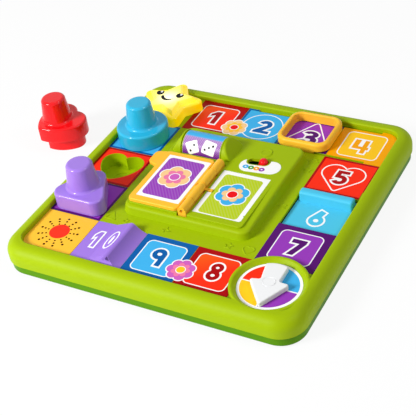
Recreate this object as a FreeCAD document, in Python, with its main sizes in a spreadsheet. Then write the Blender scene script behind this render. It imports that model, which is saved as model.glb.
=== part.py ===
import FreeCAD, Part
import math
import os
import Sketcher

# A baby activity center: a square play board with a ring of sixteen tiles round a raised book
# platform. Millimetres. The origin is the centre of the board on the table, X runs along the
# front edge, Y towards the back row, Z up.

os.makedirs("parts", exist_ok=True)
doc = FreeCAD.newDocument("activity_center")
Vector = FreeCAD.Vector
Rotation = FreeCAD.Rotation
Placement = FreeCAD.Placement

# Driving dimensions

driving = {
    "cell": 52.0,              # pitch of the tile grid, five tiles to a side
    "boardWide": 293.4,        # the top housing along X
    "boardDeep": 292.0,        # and along Y
    "boardX": 0.7,             # its middle, a little to the right of the tile grid's
    "boardCorner": 24.0,       # its corner radius seen from above
    "wall": 3.0,               # moulded wall of the housings
    "seamZ": 10.5,             # parting line between top and bottom housing
    "deckZ": 23.0,             # top of the deck that carries the tiles
    "deckPlate": 2.5,          # thickness of the deck
    "crestZ": 28.0,            # top of the rim
    "rimRound": 10.9,          # big outer radius of the rim
    "rimInner": 1.7,           # smaller radius towards the tiles
    "recessWide": 267.0,       # the sunk tile field along X
    "recessDeep": 261.4,       # and along Y
    "recessX": 0.9,
    "recessCorner": 13.0,
    "underZ": 1.0,             # underside of the bottom housing
    "platformZ": 33.0,         # top of the book platform
    "platformLeft": -66.0,     # its foot on the deck
    "platformRight": 65.2,
    "platformFront": -60.2,
    "platformBack": 73.4,
    "platformDrop": 2.0,       # how much lower its front edge is than the cards
    "cardStepRight": 55.8,     # edge of the level step that carries the cards
    "cardStepFront": -54.2,
    "labelThick": 0.3,
    "labelGap": 0.3,           # bare deck left along each edge of a tile
    "hingeX": -3.5,
    "hingeZ": 35.2,
    "knuckleRadius": 4.2,
    "hingePinRadius": 1.2,
    "pageBottomZ": 33.4,
    "pageThick": 3.4,
    "pageFront": -53.5,
    "pageBack": 23.5,
    "pageLeft": -60.5,
    "rollerRadius": 14.0,
    "rollerLeft": -49.7,
    "rollerRight": -6.8,
    "rollerY": 43.5,
    "rollerZ": 32.6,
    "cheekRadius": 14.5,
    "spinnerX": 105.5,
    "spinnerY": -104.0,
    "bossRadius": 34.0,
    "dialRadius": 27.6,
    "dialZ": 24.0,
    "arrowThick": 4.6,
    "cupFloorZ": 9.1,
    "flangeThick": 16.4,
    "knobRadius": 12.6,
    "knobFoot": 15.0,
    "knobTall": 41.5,          # from the seat of a shape piece to the top of its knob
    "plugDeep": 13.6,
    "plugGap": 0.6,
    "flangeOver": 6.0,         # how far the flange stands out from the recess outline
    "starRadius": 39.2,        # to the sharp tips, before they are rounded
    "starX": -105.0,
    "starY": 104.4,
    "frameLong": 54.0,
    "frameDeep": 51.0,
    "frameY": 104.2,
    "frameBottomZ": 24.0,
    "frameTopZ": 33.4,
    "slotWide": 2.2,
    "legThick": 1.4,
    "panelZ": 19.8,            # top of the sliding panel of tile six
    "panelThick": 2.5,
    "barTopZ": 29.5,
    "keyPivotX": -75.5,
    "keyPivotZ": 17.5,
    "switchX": 28.6,
    "switchY": 37.7,
    "switchTurn": 6.0,
    "knobGap": 0.35,
    "batteryRadius": 7.15,
    "batteryLong": 50.0,
    "batteryPitch": 15.2,
    "batteryZ": 10.75,
}

sheet = doc.addObject("Spreadsheet::Sheet", "Dims")
for row, (alias, number) in enumerate(driving.items(), start=1):
    sheet.set("A%d" % row, alias)
    sheet.set("B%d" % row, str(number))
    sheet.setAlias("B%d" % row, alias)
doc.recompute()


class Size:
    """A number of the sheet, or one worked out from it, with the expression that gives it."""

    def __init__(self, number, text):
        self.number = number
        self.text = text

    def __float__(self):
        return self.number

    def __add__(self, other):
        return Size(self.number + float(other), "(%s + %s)" % (self.text, text_of(other)))

    def __radd__(self, other):
        return Size(float(other) + self.number, "(%s + %s)" % (text_of(other), self.text))

    def __sub__(self, other):
        return Size(self.number - float(other), "(%s - %s)" % (self.text, text_of(other)))

    def __rsub__(self, other):
        return Size(float(other) - self.number, "(%s - %s)" % (text_of(other), self.text))

    def __mul__(self, other):
        return Size(self.number * float(other), "(%s * %s)" % (self.text, text_of(other)))

    def __rmul__(self, other):
        return Size(float(other) * self.number, "(%s * %s)" % (text_of(other), self.text))

    def __truediv__(self, other):
        return Size(self.number / float(other), "(%s / %s)" % (self.text, text_of(other)))

    def __neg__(self):
        return Size(-self.number, "(0 - %s)" % self.text)


def text_of(value):
    return value.text if isinstance(value, Size) else repr(float(value))


def dim(alias):
    return Size(float(sheet.get(alias)), "Dims." + alias)


def bind(thing, path, value):
    """Ties one property of an object to the sheet; a plain number is just set by the caller."""
    if isinstance(value, Size):
        thing.setExpression(path, value.text)


# Sketch helpers. Each outline is drawn round the sketch's own origin.

def plane_of(body, role):
    for feature in body.Origin.OriginFeatures:
        if feature.Role == role:
            return feature
    raise ValueError(role)


def new_body(label):
    body = doc.addObject("PartDesign::Body", label)
    body.Label = label
    return body


def new_sketch(body, outline, role="XY_Plane", lift=0.0, shift=(0.0, 0.0)):
    """A sketch on one of the body's origin planes, moved along the plane and off it by lift."""
    sketch = body.newObject("Sketcher::SketchObject", "Outline")
    sketch.AttachmentSupport = (plane_of(body, role), [""])
    sketch.MapMode = "FlatFace"
    place = Vector(float(shift[0]), float(shift[1]), float(lift))
    sketch.AttachmentOffset = Placement(place, Rotation())
    bind(sketch, ".AttachmentOffset.Base.x", shift[0])
    bind(sketch, ".AttachmentOffset.Base.y", shift[1])
    bind(sketch, ".AttachmentOffset.Base.z", lift)
    outline(sketch)
    return sketch


def name_constraint(sketch, index, name, value):
    if isinstance(value, Size):
        sketch.renameConstraint(index, name)
        sketch.setExpression(".Constraints." + name, value.text)


def pin_point(sketch, geo, pos, name, point):
    """Ties a point of the sketch to the sheet where its coordinates come from it."""
    for axis, value in zip("XY", point):
        if isinstance(value, Size):
            rule = Sketcher.Constraint("Distance" + axis, -1, 1, geo, pos, float(value))
            name_constraint(sketch, sketch.addConstraint(rule), name + axis, value)


def circle_of(radius):
    def draw(sketch):
        geo = sketch.addGeometry(Part.Circle(Vector(0, 0, 0), Vector(0, 0, 1), float(radius)))
        sketch.addConstraint(Sketcher.Constraint("Coincident", geo, 3, -1, 1))
        rule = sketch.addConstraint(Sketcher.Constraint("Radius", geo, float(radius)))
        name_constraint(sketch, rule, "radius", radius)
    return draw


def polygon_of(points):
    """Straight runs through the points; a triple (x, y, bulge point) makes its run an arc."""
    def draw(sketch):
        count = len(points)
        for index in range(count):
            start = Vector(float(points[index][0]), float(points[index][1]), 0)
            after = points[(index + 1) % count]
            stop = Vector(float(after[0]), float(after[1]), 0)
            if len(points[index]) == 3:
                middle = Vector(points[index][2][0], points[index][2][1], 0)
                sketch.addGeometry(Part.Arc(start, middle, stop))
            else:
                sketch.addGeometry(Part.LineSegment(start, stop))
        if all(len(point) == 2 for point in points):
            for index in range(count):
                after = (index + 1) % count
                sketch.addConstraint(Sketcher.Constraint("Coincident", index, 2, after, 1))
                pin_point(sketch, index, 1, "p%d" % index, points[index])
    return draw


def rounded_of(corners, radius):
    """A closed outline of arcs round the given corner centres, joined by their tangents."""
    def draw(sketch):
        count = len(corners)
        size = float(radius)
        arcs = []
        for index in range(count):
            before = corners[index - 1]
            here = corners[index]
            after = corners[(index + 1) % count]
            turn_in = math.atan2(float(here[1]) - float(before[1]), float(here[0]) - float(before[0]))
            turn_out = math.atan2(float(after[1]) - float(here[1]), float(after[0]) - float(here[0]))
            centre = Vector(float(here[0]), float(here[1]), 0)
            ring = Part.Circle(centre, Vector(0, 0, 1), size)
            first = turn_in - math.pi / 2
            last = turn_out - math.pi / 2
            if last < first:
                last += 2 * math.pi
            arcs.append(sketch.addGeometry(Part.ArcOfCircle(ring, first, last)))
        for index in range(count):
            follow = (index + 1) % count
            start = sketch.getPoint(arcs[index], 2)
            stop = sketch.getPoint(arcs[follow], 1)
            line = sketch.addGeometry(Part.LineSegment(start, stop))
            sketch.addConstraint(Sketcher.Constraint("Tangent", arcs[index], 2, line, 1))
            sketch.addConstraint(Sketcher.Constraint("Tangent", line, 2, arcs[follow], 1))
        for index in range(1, count):
            sketch.addConstraint(Sketcher.Constraint("Equal", arcs[0], arcs[index]))
        rule = sketch.addConstraint(Sketcher.Constraint("Radius", arcs[0], size))
        name_constraint(sketch, rule, "radius", radius)
        for index in range(count):
            pin_point(sketch, arcs[index], 3, "c%d" % index, corners[index])
    return draw


def rectangle_of(width, depth, radius):
    x = (width / 2) - radius
    y = (depth / 2) - radius
    return rounded_of([(-x, -y), (x, -y), (x, y), (-x, y)], radius)


def heart_of(lobe_x, lobe_y, lobe_radius, tip_y):
    """Two lobes and two long side arcs that leave them without a kink and meet at the tip."""
    def draw(sketch):
        leave = math.radians(-15)
        outward = Vector(math.cos(leave), math.sin(leave), 0)
        join = Vector(lobe_x, lobe_y, 0) + outward * lobe_radius
        reach = join - Vector(0, tip_y, 0)
        side_radius = reach.dot(reach) / (2 * reach.dot(outward))
        side_centre = join - outward * side_radius
        cleft = Vector(0, lobe_y + math.sqrt(lobe_radius ** 2 - lobe_x ** 2), 0)
        middle_angle = (leave + math.atan2(tip_y - side_centre.y, -side_centre.x)) / 2
        side_middle = side_centre + Vector(math.cos(middle_angle), math.sin(middle_angle), 0) * side_radius
        crown_angle = (math.atan2(cleft.y - lobe_y, -lobe_x) + leave) / 2
        crown_way = Vector(math.cos(crown_angle), math.sin(crown_angle), 0)
        crown = Vector(lobe_x, lobe_y, 0) + crown_way * lobe_radius
        tip = Vector(0, tip_y, 0)
        right = [(tip, side_middle, join), (join, crown, cleft)]
        for start, middle, stop in right:
            sketch.addGeometry(Part.Arc(start, middle, stop))
        for start, middle, stop in reversed(right):
            mirrored = [Vector(-p.x, p.y, 0) for p in (stop, middle, start)]
            sketch.addGeometry(Part.Arc(*mirrored))
    return draw


def star_of(tip, valley, first_angle):
    points = []
    for index in range(10):
        reach = tip if index % 2 == 0 else valley
        angle = math.radians(first_angle + 36 * index)
        points.append((reach * math.cos(angle), reach * math.sin(angle)))
    return polygon_of(points)


# Feature helpers

def pad(body, sketch, length, taper=0.0, down=False):
    feature = body.newObject("PartDesign::Pad", "Pad")
    feature.Profile = sketch
    feature.Length = float(length)
    feature.TaperAngle = taper
    feature.Reversed = down
    bind(feature, "Length", length)
    sketch.Visibility = False
    doc.recompute()
    return feature


def pocket(body, sketch, length, up=False):
    before = body.Shape.Volume
    feature = body.newObject("PartDesign::Pocket", "Pocket")
    feature.Profile = sketch
    feature.Length = float(length)
    feature.Reversed = up
    bind(feature, "Length", length)
    doc.recompute()
    if not body.Shape.Volume < before - 0.01:
        raise RuntimeError("pocket of %s cuts nothing" % body.Label)
    return feature


def revolve(body, sketch, angle=360.0, axis="V_Axis", centred=False):
    feature = body.newObject("PartDesign::Revolution", "Revolution")
    feature.Profile = sketch
    feature.ReferenceAxis = (sketch, [axis])
    feature.Angle = angle
    feature.Midplane = centred
    doc.recompute()
    return feature


def soften(body, radius, wanted, kind="Fillet"):
    """Rounds or bevels the edges of the body's last feature that the test picks."""
    base = body.Tip
    names = []
    for index, edge in enumerate(base.Shape.Edges, start=1):
        if wanted(edge):
            names.append("Edge%d" % index)
    if not names:
        raise RuntimeError("no edge to soften on %s" % body.Label)
    feature = body.newObject("PartDesign::" + kind, kind)
    feature.Base = (base, names)
    if kind == "Fillet":
        feature.Radius = float(radius)
        bind(feature, "Radius", radius)
    else:
        feature.Size = float(radius)
        bind(feature, "Size", radius)
    doc.recompute()
    if not feature.isValid():
        raise RuntimeError("%s fails on %s" % (kind, body.Label))
    return feature


def lies_at(height):
    def test(edge):
        box = edge.BoundBox
        return abs(box.ZMin - float(height)) < 1e-4 and abs(box.ZMax - float(height)) < 1e-4
    return test


def stands(edge):
    box = edge.BoundBox
    return box.XLength < 1e-4 and box.YLength < 1e-4


def stands_near(x, y, within=1.5):
    def test(edge):
        box = edge.BoundBox
        near = math.hypot(box.Center.x - x, box.Center.y - y) < within
        return stands(edge) and near
    return test


def place(thing, x=0.0, y=0.0, z=0.0, axis=(0, 0, 1), angle=0.0):
    turn = Rotation(Vector(*axis), angle)
    thing.Placement = Placement(Vector(float(x), float(y), float(z)), turn)
    bind(thing, ".Placement.Base.x", x)
    bind(thing, ".Placement.Base.y", y)
    bind(thing, ".Placement.Base.z", z)
    return thing


def slab(label, outline, bottom, top, x=0.0, y=0.0, turn=0.0, top_round=0.0, taper=0.0):
    """A prism of the outline between two heights, its top edge rounded if asked."""
    body = new_body(label)
    height = top - bottom
    pad(body, new_sketch(body, outline), height, taper)
    if float(top_round) > 0:
        soften(body, top_round, lies_at(height))
    return place(body, x, y, bottom, angle=turn)


def box(label, low, high):
    block = doc.addObject("Part::Box", label)
    for name, start, stop in zip(("Length", "Width", "Height"), low, high):
        setattr(block, name, float(stop) - float(start))
        bind(block, name, stop - start)
    return place(block, *low)


def rod(label, radius, length, start, axis=(0, 0, 1)):
    """A cylinder that begins at start and runs along one of the row axes."""
    cylinder = doc.addObject("Part::Cylinder", label)
    cylinder.Radius = float(radius)
    cylinder.Height = float(length)
    bind(cylinder, "Radius", radius)
    bind(cylinder, "Height", length)
    turns = {(0, 0, 1): ((0, 0, 1), 0), (1, 0, 0): ((0, 1, 0), 90), (0, 1, 0): ((1, 0, 0), -90)}
    around, angle = turns[axis]
    return place(cylinder, *start, axis=around, angle=angle)


def fuse(label, shapes):
    joined = doc.addObject("Part::MultiFuse", label)
    joined.Shapes = shapes
    doc.recompute()
    return joined


def cut(label, base, tools):
    tool = tools[0] if len(tools) == 1 else fuse(label + "_tools", tools)
    result = doc.addObject("Part::Cut", label)
    result.Base = base
    result.Tool = tool
    doc.recompute()
    return result


def common(label, base, tool):
    result = doc.addObject("Part::Common", label)
    result.Base = base
    result.Tool = tool
    doc.recompute()
    return result


def group(label, shapes):
    """Like pieces that share one node, kept as separate solids."""
    held = doc.addObject("Part::Compound", label)
    held.Links = shapes
    doc.recompute()
    return held


nodes = {}


def node(name, thing):
    thing.Label = name
    nodes[name] = thing
    return thing


cell = dim("cell")
deck = dim("deckZ")
deck_under = deck - dim("deckPlate")
seam = dim("seamZ")
under = dim("underZ")
crest = dim("crestZ")
wall = dim("wall")
half_wide = dim("boardWide") / 2
half_deep = dim("boardDeep") / 2
board_x = dim("boardX")
platform = dim("platformZ")
field_left = dim("recessX") - dim("recessWide") / 2
field_right = dim("recessX") + dim("recessWide") / 2
field_back = dim("recessDeep") / 2
field_front = -field_back


def tile_span(index, low_edge, high_edge):
    """Tiles are counted from the front left corner; the outer ones reach the rim."""
    low = low_edge if index == 0 else cell * (index - 2.5)
    high = high_edge if index == 4 else cell * (index - 1.5)
    return low, high


def tile_centre(column, row):
    left, right = tile_span(column, field_left, field_right)
    front, back = tile_span(row, field_front, field_back)
    return (left + right) / 2, (front + back) / 2


def recess_centre(kind):
    return recess_x[kind], cell * (recess_rows[kind] - 2.0) + recess_shift[kind]


# Recess outlines shared by the housing cups, the tile labels and the shape pieces.
# The second argument grows or shrinks the outline.

heart_lobe_x = 9.8
heart_lobe_y = 6.2
heart_lobe_radius = 11.9
heart_tip_y = -20.2
triangle_corners = [(-16.0, -13.5), (16.0, -13.5), (0.8, 13.6)]
triangle_radius = 4.6
disc_radius = 20.6


def recess_outline(kind, grow=0.0):
    if kind == "heart":
        return heart_of(heart_lobe_x, heart_lobe_y, heart_lobe_radius + grow, heart_tip_y - 1.35 * grow)
    if kind == "triangle":
        return rounded_of(triangle_corners, triangle_radius + grow)
    return circle_of(disc_radius + grow)


def hollow_outline(kind):
    """The room inside a plug; the heart's lobes move inwards so that they still meet."""
    if kind == "heart":
        return heart_of(8.4, 5.4, 9.6, -16.0)
    return recess_outline(kind, -3.2)


recess_rows = {"triangle": 1, "heart": 2, "disc": 3}
recess_x = {"triangle": -104.8, "heart": -104.4, "disc": -105.8}
recess_shift = {"triangle": 0.0, "heart": 0.9, "disc": 0.0}
spinner_x = dim("spinnerX")
spinner_y = dim("spinnerY")

# Top housing: rim, sunk deck, book platform, roller cheeks, spinner boss and shape cups

def rim_and_deck():
    body = new_body("rim_and_deck")
    height = crest - seam
    board_outline = rectangle_of(dim("boardWide"), dim("boardDeep"), dim("boardCorner"))
    pad(body, new_sketch(body, board_outline), height)
    soften(body, dim("rimRound"), lies_at(height))
    field = rectangle_of(dim("recessWide"), dim("recessDeep"), dim("recessCorner"))
    shift = (dim("recessX") - board_x, 0.0)
    pocket(body, new_sketch(body, field, lift=height, shift=shift), crest - deck)
    reach = float(field_back) + 0.5

    def crest_edge(edge):
        span = edge.BoundBox
        return lies_at(height)(edge) and max(abs(span.YMin), abs(span.YMax)) < reach and max(
            abs(span.XMin), abs(span.XMax)) < float(field_right)
    soften(body, dim("rimInner"), crest_edge)
    return place(body, board_x, z=seam)


platform_corner = 11.0
platform_round = 3.0
level_from_y = 17.5


def platform_block():
    """One block with leaning sides; its top falls away towards the front."""
    left = dim("platformLeft")
    right = dim("platformRight")
    front = dim("platformFront")
    back = dim("platformBack")
    body = new_body("platform_block")
    outline = rectangle_of(right - left, back - front, Size(platform_corner, "11"))
    height = platform - deck
    pad(body, new_sketch(body, outline), height, taper=-14.0)
    middle_y = float(front + back) / 2
    start = level_from_y - middle_y
    stop = float(front) - middle_y - 2.0
    wedge = polygon_of([
        (start, height),
        (stop, height - dim("platformDrop")),
        (stop, height + 2.0),
        (start, height + 2.0),
    ])
    reach = (right - left) / 2 + 2.0
    pocket(body, new_sketch(body, wedge, "YZ_Plane", lift=reach), reach * 2)
    low = float(height) - float(dim("platformDrop")) - 0.1

    def brim(edge):
        span = edge.BoundBox
        crease = span.YLength < 1e-3 and abs(span.YMin - start) < 0.1
        return span.ZMin > low and not crease
    soften(body, platform_round, brim)
    return place(body, (left + right) / 2, (front + back) / 2, deck)


def card_step():
    """The level step under the book page and the card, its edge just outside them."""
    left = dim("platformLeft") + 5.5
    right = dim("cardStepRight")
    front = dim("cardStepFront")
    back = Size(level_from_y, "17.5") + 4.0
    outline = rectangle_of(right - left, back - front, Size(4.0, "4"))
    middle = ((left + right) / 2, (front + back) / 2)
    return slab("card_step", outline, deck + 1.0, platform, *middle, top_round=0.6)


axle_reach = 5.5
cheek_gap = 0.5
cheek_width = 14.4
cheek_flat = 1.4
cheek_slope = 0.58


def roller_cheek(label, x, direction):
    """A short barrel end beside the roller, cut off by a steep slope and rounded over."""
    radius = float(dim("cheekRadius"))
    body = new_body(label)
    pad(body, new_sketch(body, circle_of(dim("cheekRadius")), "YZ_Plane"), cheek_width, down=direction < 0)
    foot = cheek_flat + cheek_slope * (radius + 3.0)
    slope = polygon_of([
        (direction * (cheek_flat - cheek_slope), radius + 1.0),
        (direction * foot, -3.0),
        (direction * (foot + 4.0), -3.0),
        (direction * (foot + 4.0), radius + 1.0),
    ])
    pocket(body, new_sketch(body, slope, "XZ_Plane", lift=radius + 1.0), 2 * radius + 2.0)
    high = radius * 0.3

    def shoulder(edge):
        span = edge.BoundBox
        return span.XLength > 1.0 and span.ZMax > high and span.YLength > radius
    soften(body, 2.0, shoulder)
    return place(body, x, dim("rollerY"), dim("rollerZ"))


def roller_rod(label):
    """The roller's axle, and the bore that it needs in both cheeks."""
    left = dim("rollerLeft") - axle_reach
    length = dim("rollerRight") + axle_reach - left
    return rod(label, 1.5, length, (left, dim("rollerY"), dim("rollerZ")), (1, 0, 0))


def spinner_boss():
    """A round island level with the rim; the dial's well is sunk in it afterwards."""
    outline = circle_of(dim("bossRadius"))
    return slab("spinner_boss", outline, deck_under, crest, spinner_x, spinner_y, top_round=1.4)


def spinner_well():
    body = new_body("spinner_well")
    depth = crest - dim("dialZ")
    profile = polygon_of([
        (0.0, 0.0),
        (dim("dialRadius") + 0.3, 0.0),
        (dim("dialRadius") + 0.3, 0.5),
        (dim("dialRadius") + 3.4, depth - 0.3),
        (dim("dialRadius") + 4.4, depth),
        (dim("dialRadius") + 4.4, depth + 3.0),
        (0.0, depth + 3.0),
    ])
    revolve(body, new_sketch(body, profile, "XZ_Plane"))
    return place(body, spinner_x, spinner_y, dim("dialZ"))


def shape_cup(kind):
    x, y = recess_centre(kind)
    return slab(kind + "_cup", recess_outline(kind, 2.0), dim("cupFloorZ") - 2.0, deck - 0.5, x, y)


def shape_recess(kind):
    x, y = recess_centre(kind)
    return slab(kind + "_recess", recess_outline(kind), dim("cupFloorZ"), crest + 2.0, x, y)


def recess_step(kind):
    """The shallow ring left in the floor of each cup."""
    x, y = recess_centre(kind)
    return rod(kind + "_step", 8.0, 0.6, (x, y, dim("cupFloorZ") - 0.6))


screw_inset = 8.5
screw_offset = 65.0
screw_places = []
for along in (-screw_offset, screw_offset):
    screw_places.append((board_x - half_wide + screw_inset, along))
    screw_places.append((board_x + half_wide - screw_inset, along))
    screw_places.append((along, screw_inset - half_deep))
    screw_places.append((along, half_deep - screw_inset))


def screw_posts():
    posts = []
    for index, (x, y) in enumerate(screw_places):
        posts.append(rod("screw_post_%d" % index, 3.6, crest - 3.6 - seam, (x, y, seam)))
    return posts


def housing_hollow():
    wide = dim("boardWide") - 2 * wall
    deep = dim("boardDeep") - 2 * wall
    full = slab("hollow_outer", rectangle_of(wide, deep, dim("boardCorner") - wall), seam - 1.0,
                crest - 2.6, board_x, top_round=dim("rimRound") - 2.8)
    keep_outline = rectangle_of(dim("recessWide") + 5.0, dim("recessDeep") + 5.0, dim("recessCorner") + 2.5)
    keep = slab("deck_keep", keep_outline, deck_under, crest + 5.0, dim("recessX"))
    return cut("housing_hollow", full, [keep])


slot_left = -14.5
slot_right = 116.5
frame_front_leg = dim("frameY") - dim("frameDeep") / 2 + 0.7
frame_back_leg = dim("frameY") + dim("frameDeep") / 2 - 0.7
switch_slot_long = 20.5
switch_slot_wide = 8.9


def frame_slots(grow=0.0):
    slots = []
    for index, y in enumerate((frame_front_leg, frame_back_leg)):
        reach = dim("slotWide") / 2 + grow
        slots.append(box("frame_slot_%d_%g" % (index, grow), (slot_left, y - reach, deck_under - 2.0),
                         (slot_right, y + reach, deck + 3.0)))
    return slots


key_left = cell * -1.5
key_right = cell * -0.5
key_front = field_front
key_back = cell * -1.5
window_left = cell * 1.5 + 0.2
window_right = field_right - 0.9
window_front = cell * -0.5
window_back = cell * 0.5 - 0.3

catch_span = (-16.6, -13.4)
board_low = (9.0, 26.0, 24.2)
board_high = (52.0, 64.0, 25.8)
board_posts = [(11.6, 28.6), (49.4, 28.6), (11.6, 61.4), (49.4, 61.4)]
hinge_x = dim("hingeX")
hinge_z = dim("hingeZ")
page_front = dim("pageFront")
page_back = dim("pageBack")
card_left = 3.0
card_right = 51.5
card_front = -47.5
card_back = 17.5
card_depth = 0.9


def housing_openings():
    tools = []
    tools.append(box("key_window", (key_left, key_front, 5.0), (key_right, key_back, crest + 1.0)))
    tools.append(box("six_window", (window_left, window_front, 14.0),
                     (window_right, window_back, crest - 1.0)))
    tools += frame_slots()
    tools.append(star_room("star_hole", 8.0, 38.0))
    grille_x, grille_y = tile_centre(0, 0)
    tools.append(rod("speaker_hole", 18.4, 20.0, (grille_x, grille_y, 12.0)))
    tools.append(grille_plate("grille_seat", 0.15, deck - 1.7, deck + 1.0))
    gap = 0.8
    tools.append(box("roller_slot",
                     (dim("rollerLeft") - cheek_gap, dim("rollerY") - dim("rollerRadius") - gap, 12.0),
                     (dim("rollerRight") + cheek_gap, dim("rollerY") + dim("rollerRadius") + gap, 60.0)))
    tools.append(roller_rod("axle_bore"))
    slot_long = Size(switch_slot_long, "20.5")
    slot_wide = Size(switch_slot_wide, "8.9")
    slot_outline = rectangle_of(slot_long, slot_wide, Size(4.4, "4.4"))
    slot = slab("switch_slot", slot_outline, dim("platformZ") - 8.0, dim("platformZ") + 4.0,
                dim("switchX"), dim("switchY"), dim("switchTurn"))
    tools.append(slot)
    tools.append(box("card_recess", (card_left, card_front, platform - card_depth),
                     (card_right, card_back, platform + 2.0)))
    reach = dim("knuckleRadius") + 0.9
    tools.append(box("hinge_channel", (hinge_x - reach, page_front - 2.0, 28.8),
                     (hinge_x + reach, page_back + 0.8, platform + 6.0)))
    tools.append(box("catch_seat", (hinge_x, catch_span[0] - 0.4, platform - card_depth),
                     (card_left + 1.0, catch_span[1] + 0.4, platform + 2.0)))
    tools.append(rod("spinner_bore", 2.55, 12.0, (spinner_x, spinner_y, 16.0)))
    tools.append(spinner_well())
    tools.append(box("hollow_left", (dim("platformLeft") + 9.0, dim("platformFront") + 9.0, 12.0),
                     (hinge_x - 8.5, dim("rollerY") - 20.0, platform - 4.6)))
    room = box("hollow_right", (hinge_x + 9.5, dim("platformFront") + 9.0, 12.0),
               (dim("platformRight") - 9.0, dim("platformBack") - 7.5, platform - 3.0))
    posts = []
    for index, (x, y) in enumerate(board_posts):
        post_height = platform - 2.0 - board_high[2]
        posts.append(rod("board_post_%d" % index, 2.2, post_height, (x, y, board_high[2])))
    tools.append(cut("electronics_room", room, posts))
    return tools


def grille_plate(label, grow, bottom, top):
    """The speaker tile, with its outer corner rounded to follow the rim."""
    gap = float(dim("labelGap")) - grow
    left = float(field_left) + gap
    front = float(field_front) + gap
    right = -1.5 * float(cell) - gap
    back = right
    bend = float(dim("recessCorner")) - gap
    bulge = bend * (1 - math.sqrt(0.5))
    body = new_body(label)
    outline = polygon_of([
        (left, front + bend, (left + bulge, front + bulge)),
        (left + bend, front),
        (right, front),
        (right, back),
        (left, back),
    ])
    pad(body, new_sketch(body, outline), top - bottom)
    return place(body, z=bottom)


star_first_tip = -54.0
star_valley = 0.55


def star_outline(grow):
    """The star with all its sides moved outwards by the given amount."""
    tip = float(dim("starRadius"))
    valley = star_valley * tip
    width = valley * math.sin(math.radians(36))
    length = tip - valley * math.cos(math.radians(36))
    side_distance = tip * width / math.hypot(width, length)
    scale = (side_distance + grow) / side_distance
    return star_of(tip * scale, valley * scale, star_first_tip)


def at_star_tip(edge):
    return stands(edge) and math.hypot(edge.BoundBox.Center.x, edge.BoundBox.Center.y) > 28


def at_star_valley(edge):
    return stands(edge) and math.hypot(edge.BoundBox.Center.x, edge.BoundBox.Center.y) < 28


def star_room(label, bottom, top):
    """The star's outline with a little play round it."""
    body = new_body(label)
    pad(body, new_sketch(body, star_outline(0.9)), top - bottom)
    soften(body, 6.2, at_star_tip)
    soften(body, 3.0, at_star_valley)
    return place(body, dim("starX"), dim("starY"), bottom)


def key_ears():
    """Two ears under the deck that carry the pivot of the hinged key."""
    ears = []
    for index, y in enumerate((key_front - 2.2, key_back + 0.3)):
        ears.append(box("key_ear_%d" % index, (dim("keyPivotX") - 3.5, y, dim("keyPivotZ") - 3.4),
                        (dim("keyPivotX") + 3.5, y + 2.0, deck_under + 0.5)))
    return ears


plug_x = 30.0
plug_y = 52.4


def build_top_housing():
    shell = cut("rim_shell", rim_and_deck(), [housing_hollow()])
    solids = [shell]
    solids.append(platform_block())
    solids.append(card_step())
    solids.append(rod("platform_plug", 5.7, 1.4, (plug_x, plug_y, platform - 1.0)))
    solids.append(roller_cheek("cheek_left", dim("rollerLeft") - cheek_gap, -1))
    solids.append(roller_cheek("cheek_right", dim("rollerRight") + cheek_gap, 1))
    solids.append(spinner_boss())
    solids += [shape_cup(kind) for kind in recess_rows]
    solids += screw_posts()
    solids += key_ears()
    whole = fuse("housing_solids", solids)
    tools = housing_openings()
    tools += [shape_recess(kind) for kind in recess_rows]
    tools += [recess_step(kind) for kind in recess_rows]
    for index, (x, y) in enumerate(screw_places):
        tools.append(rod("screw_pilot_%d" % index, 1.3, 11.0, (x, y, seam - 1.0)))
    pivot_length = key_back - key_front + 6.0
    tools.append(rod("key_pivot_bore", 1.55, pivot_length,
                     (dim("keyPivotX"), key_front - 3.0, dim("keyPivotZ")), (0, 1, 0)))
    return cut("top_housing", whole, tools)


node("top_housing", build_top_housing())

# Bottom housing with its battery bay, and what closes it

bay_half_wide = dim("batteryPitch") * 1.5 + 1.2
bay_front = -36.0
bay_back = 19.0
bay_top = 19.0
door_back = 28.0
door_screw_y = 23.5


def inset_board(inset):
    """The board's outline, drawn in by the given amount all round."""
    wide = dim("boardWide") - 2 * inset
    deep = dim("boardDeep") - 2 * inset
    return rectangle_of(wide, deep, dim("boardCorner") - inset)


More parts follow.
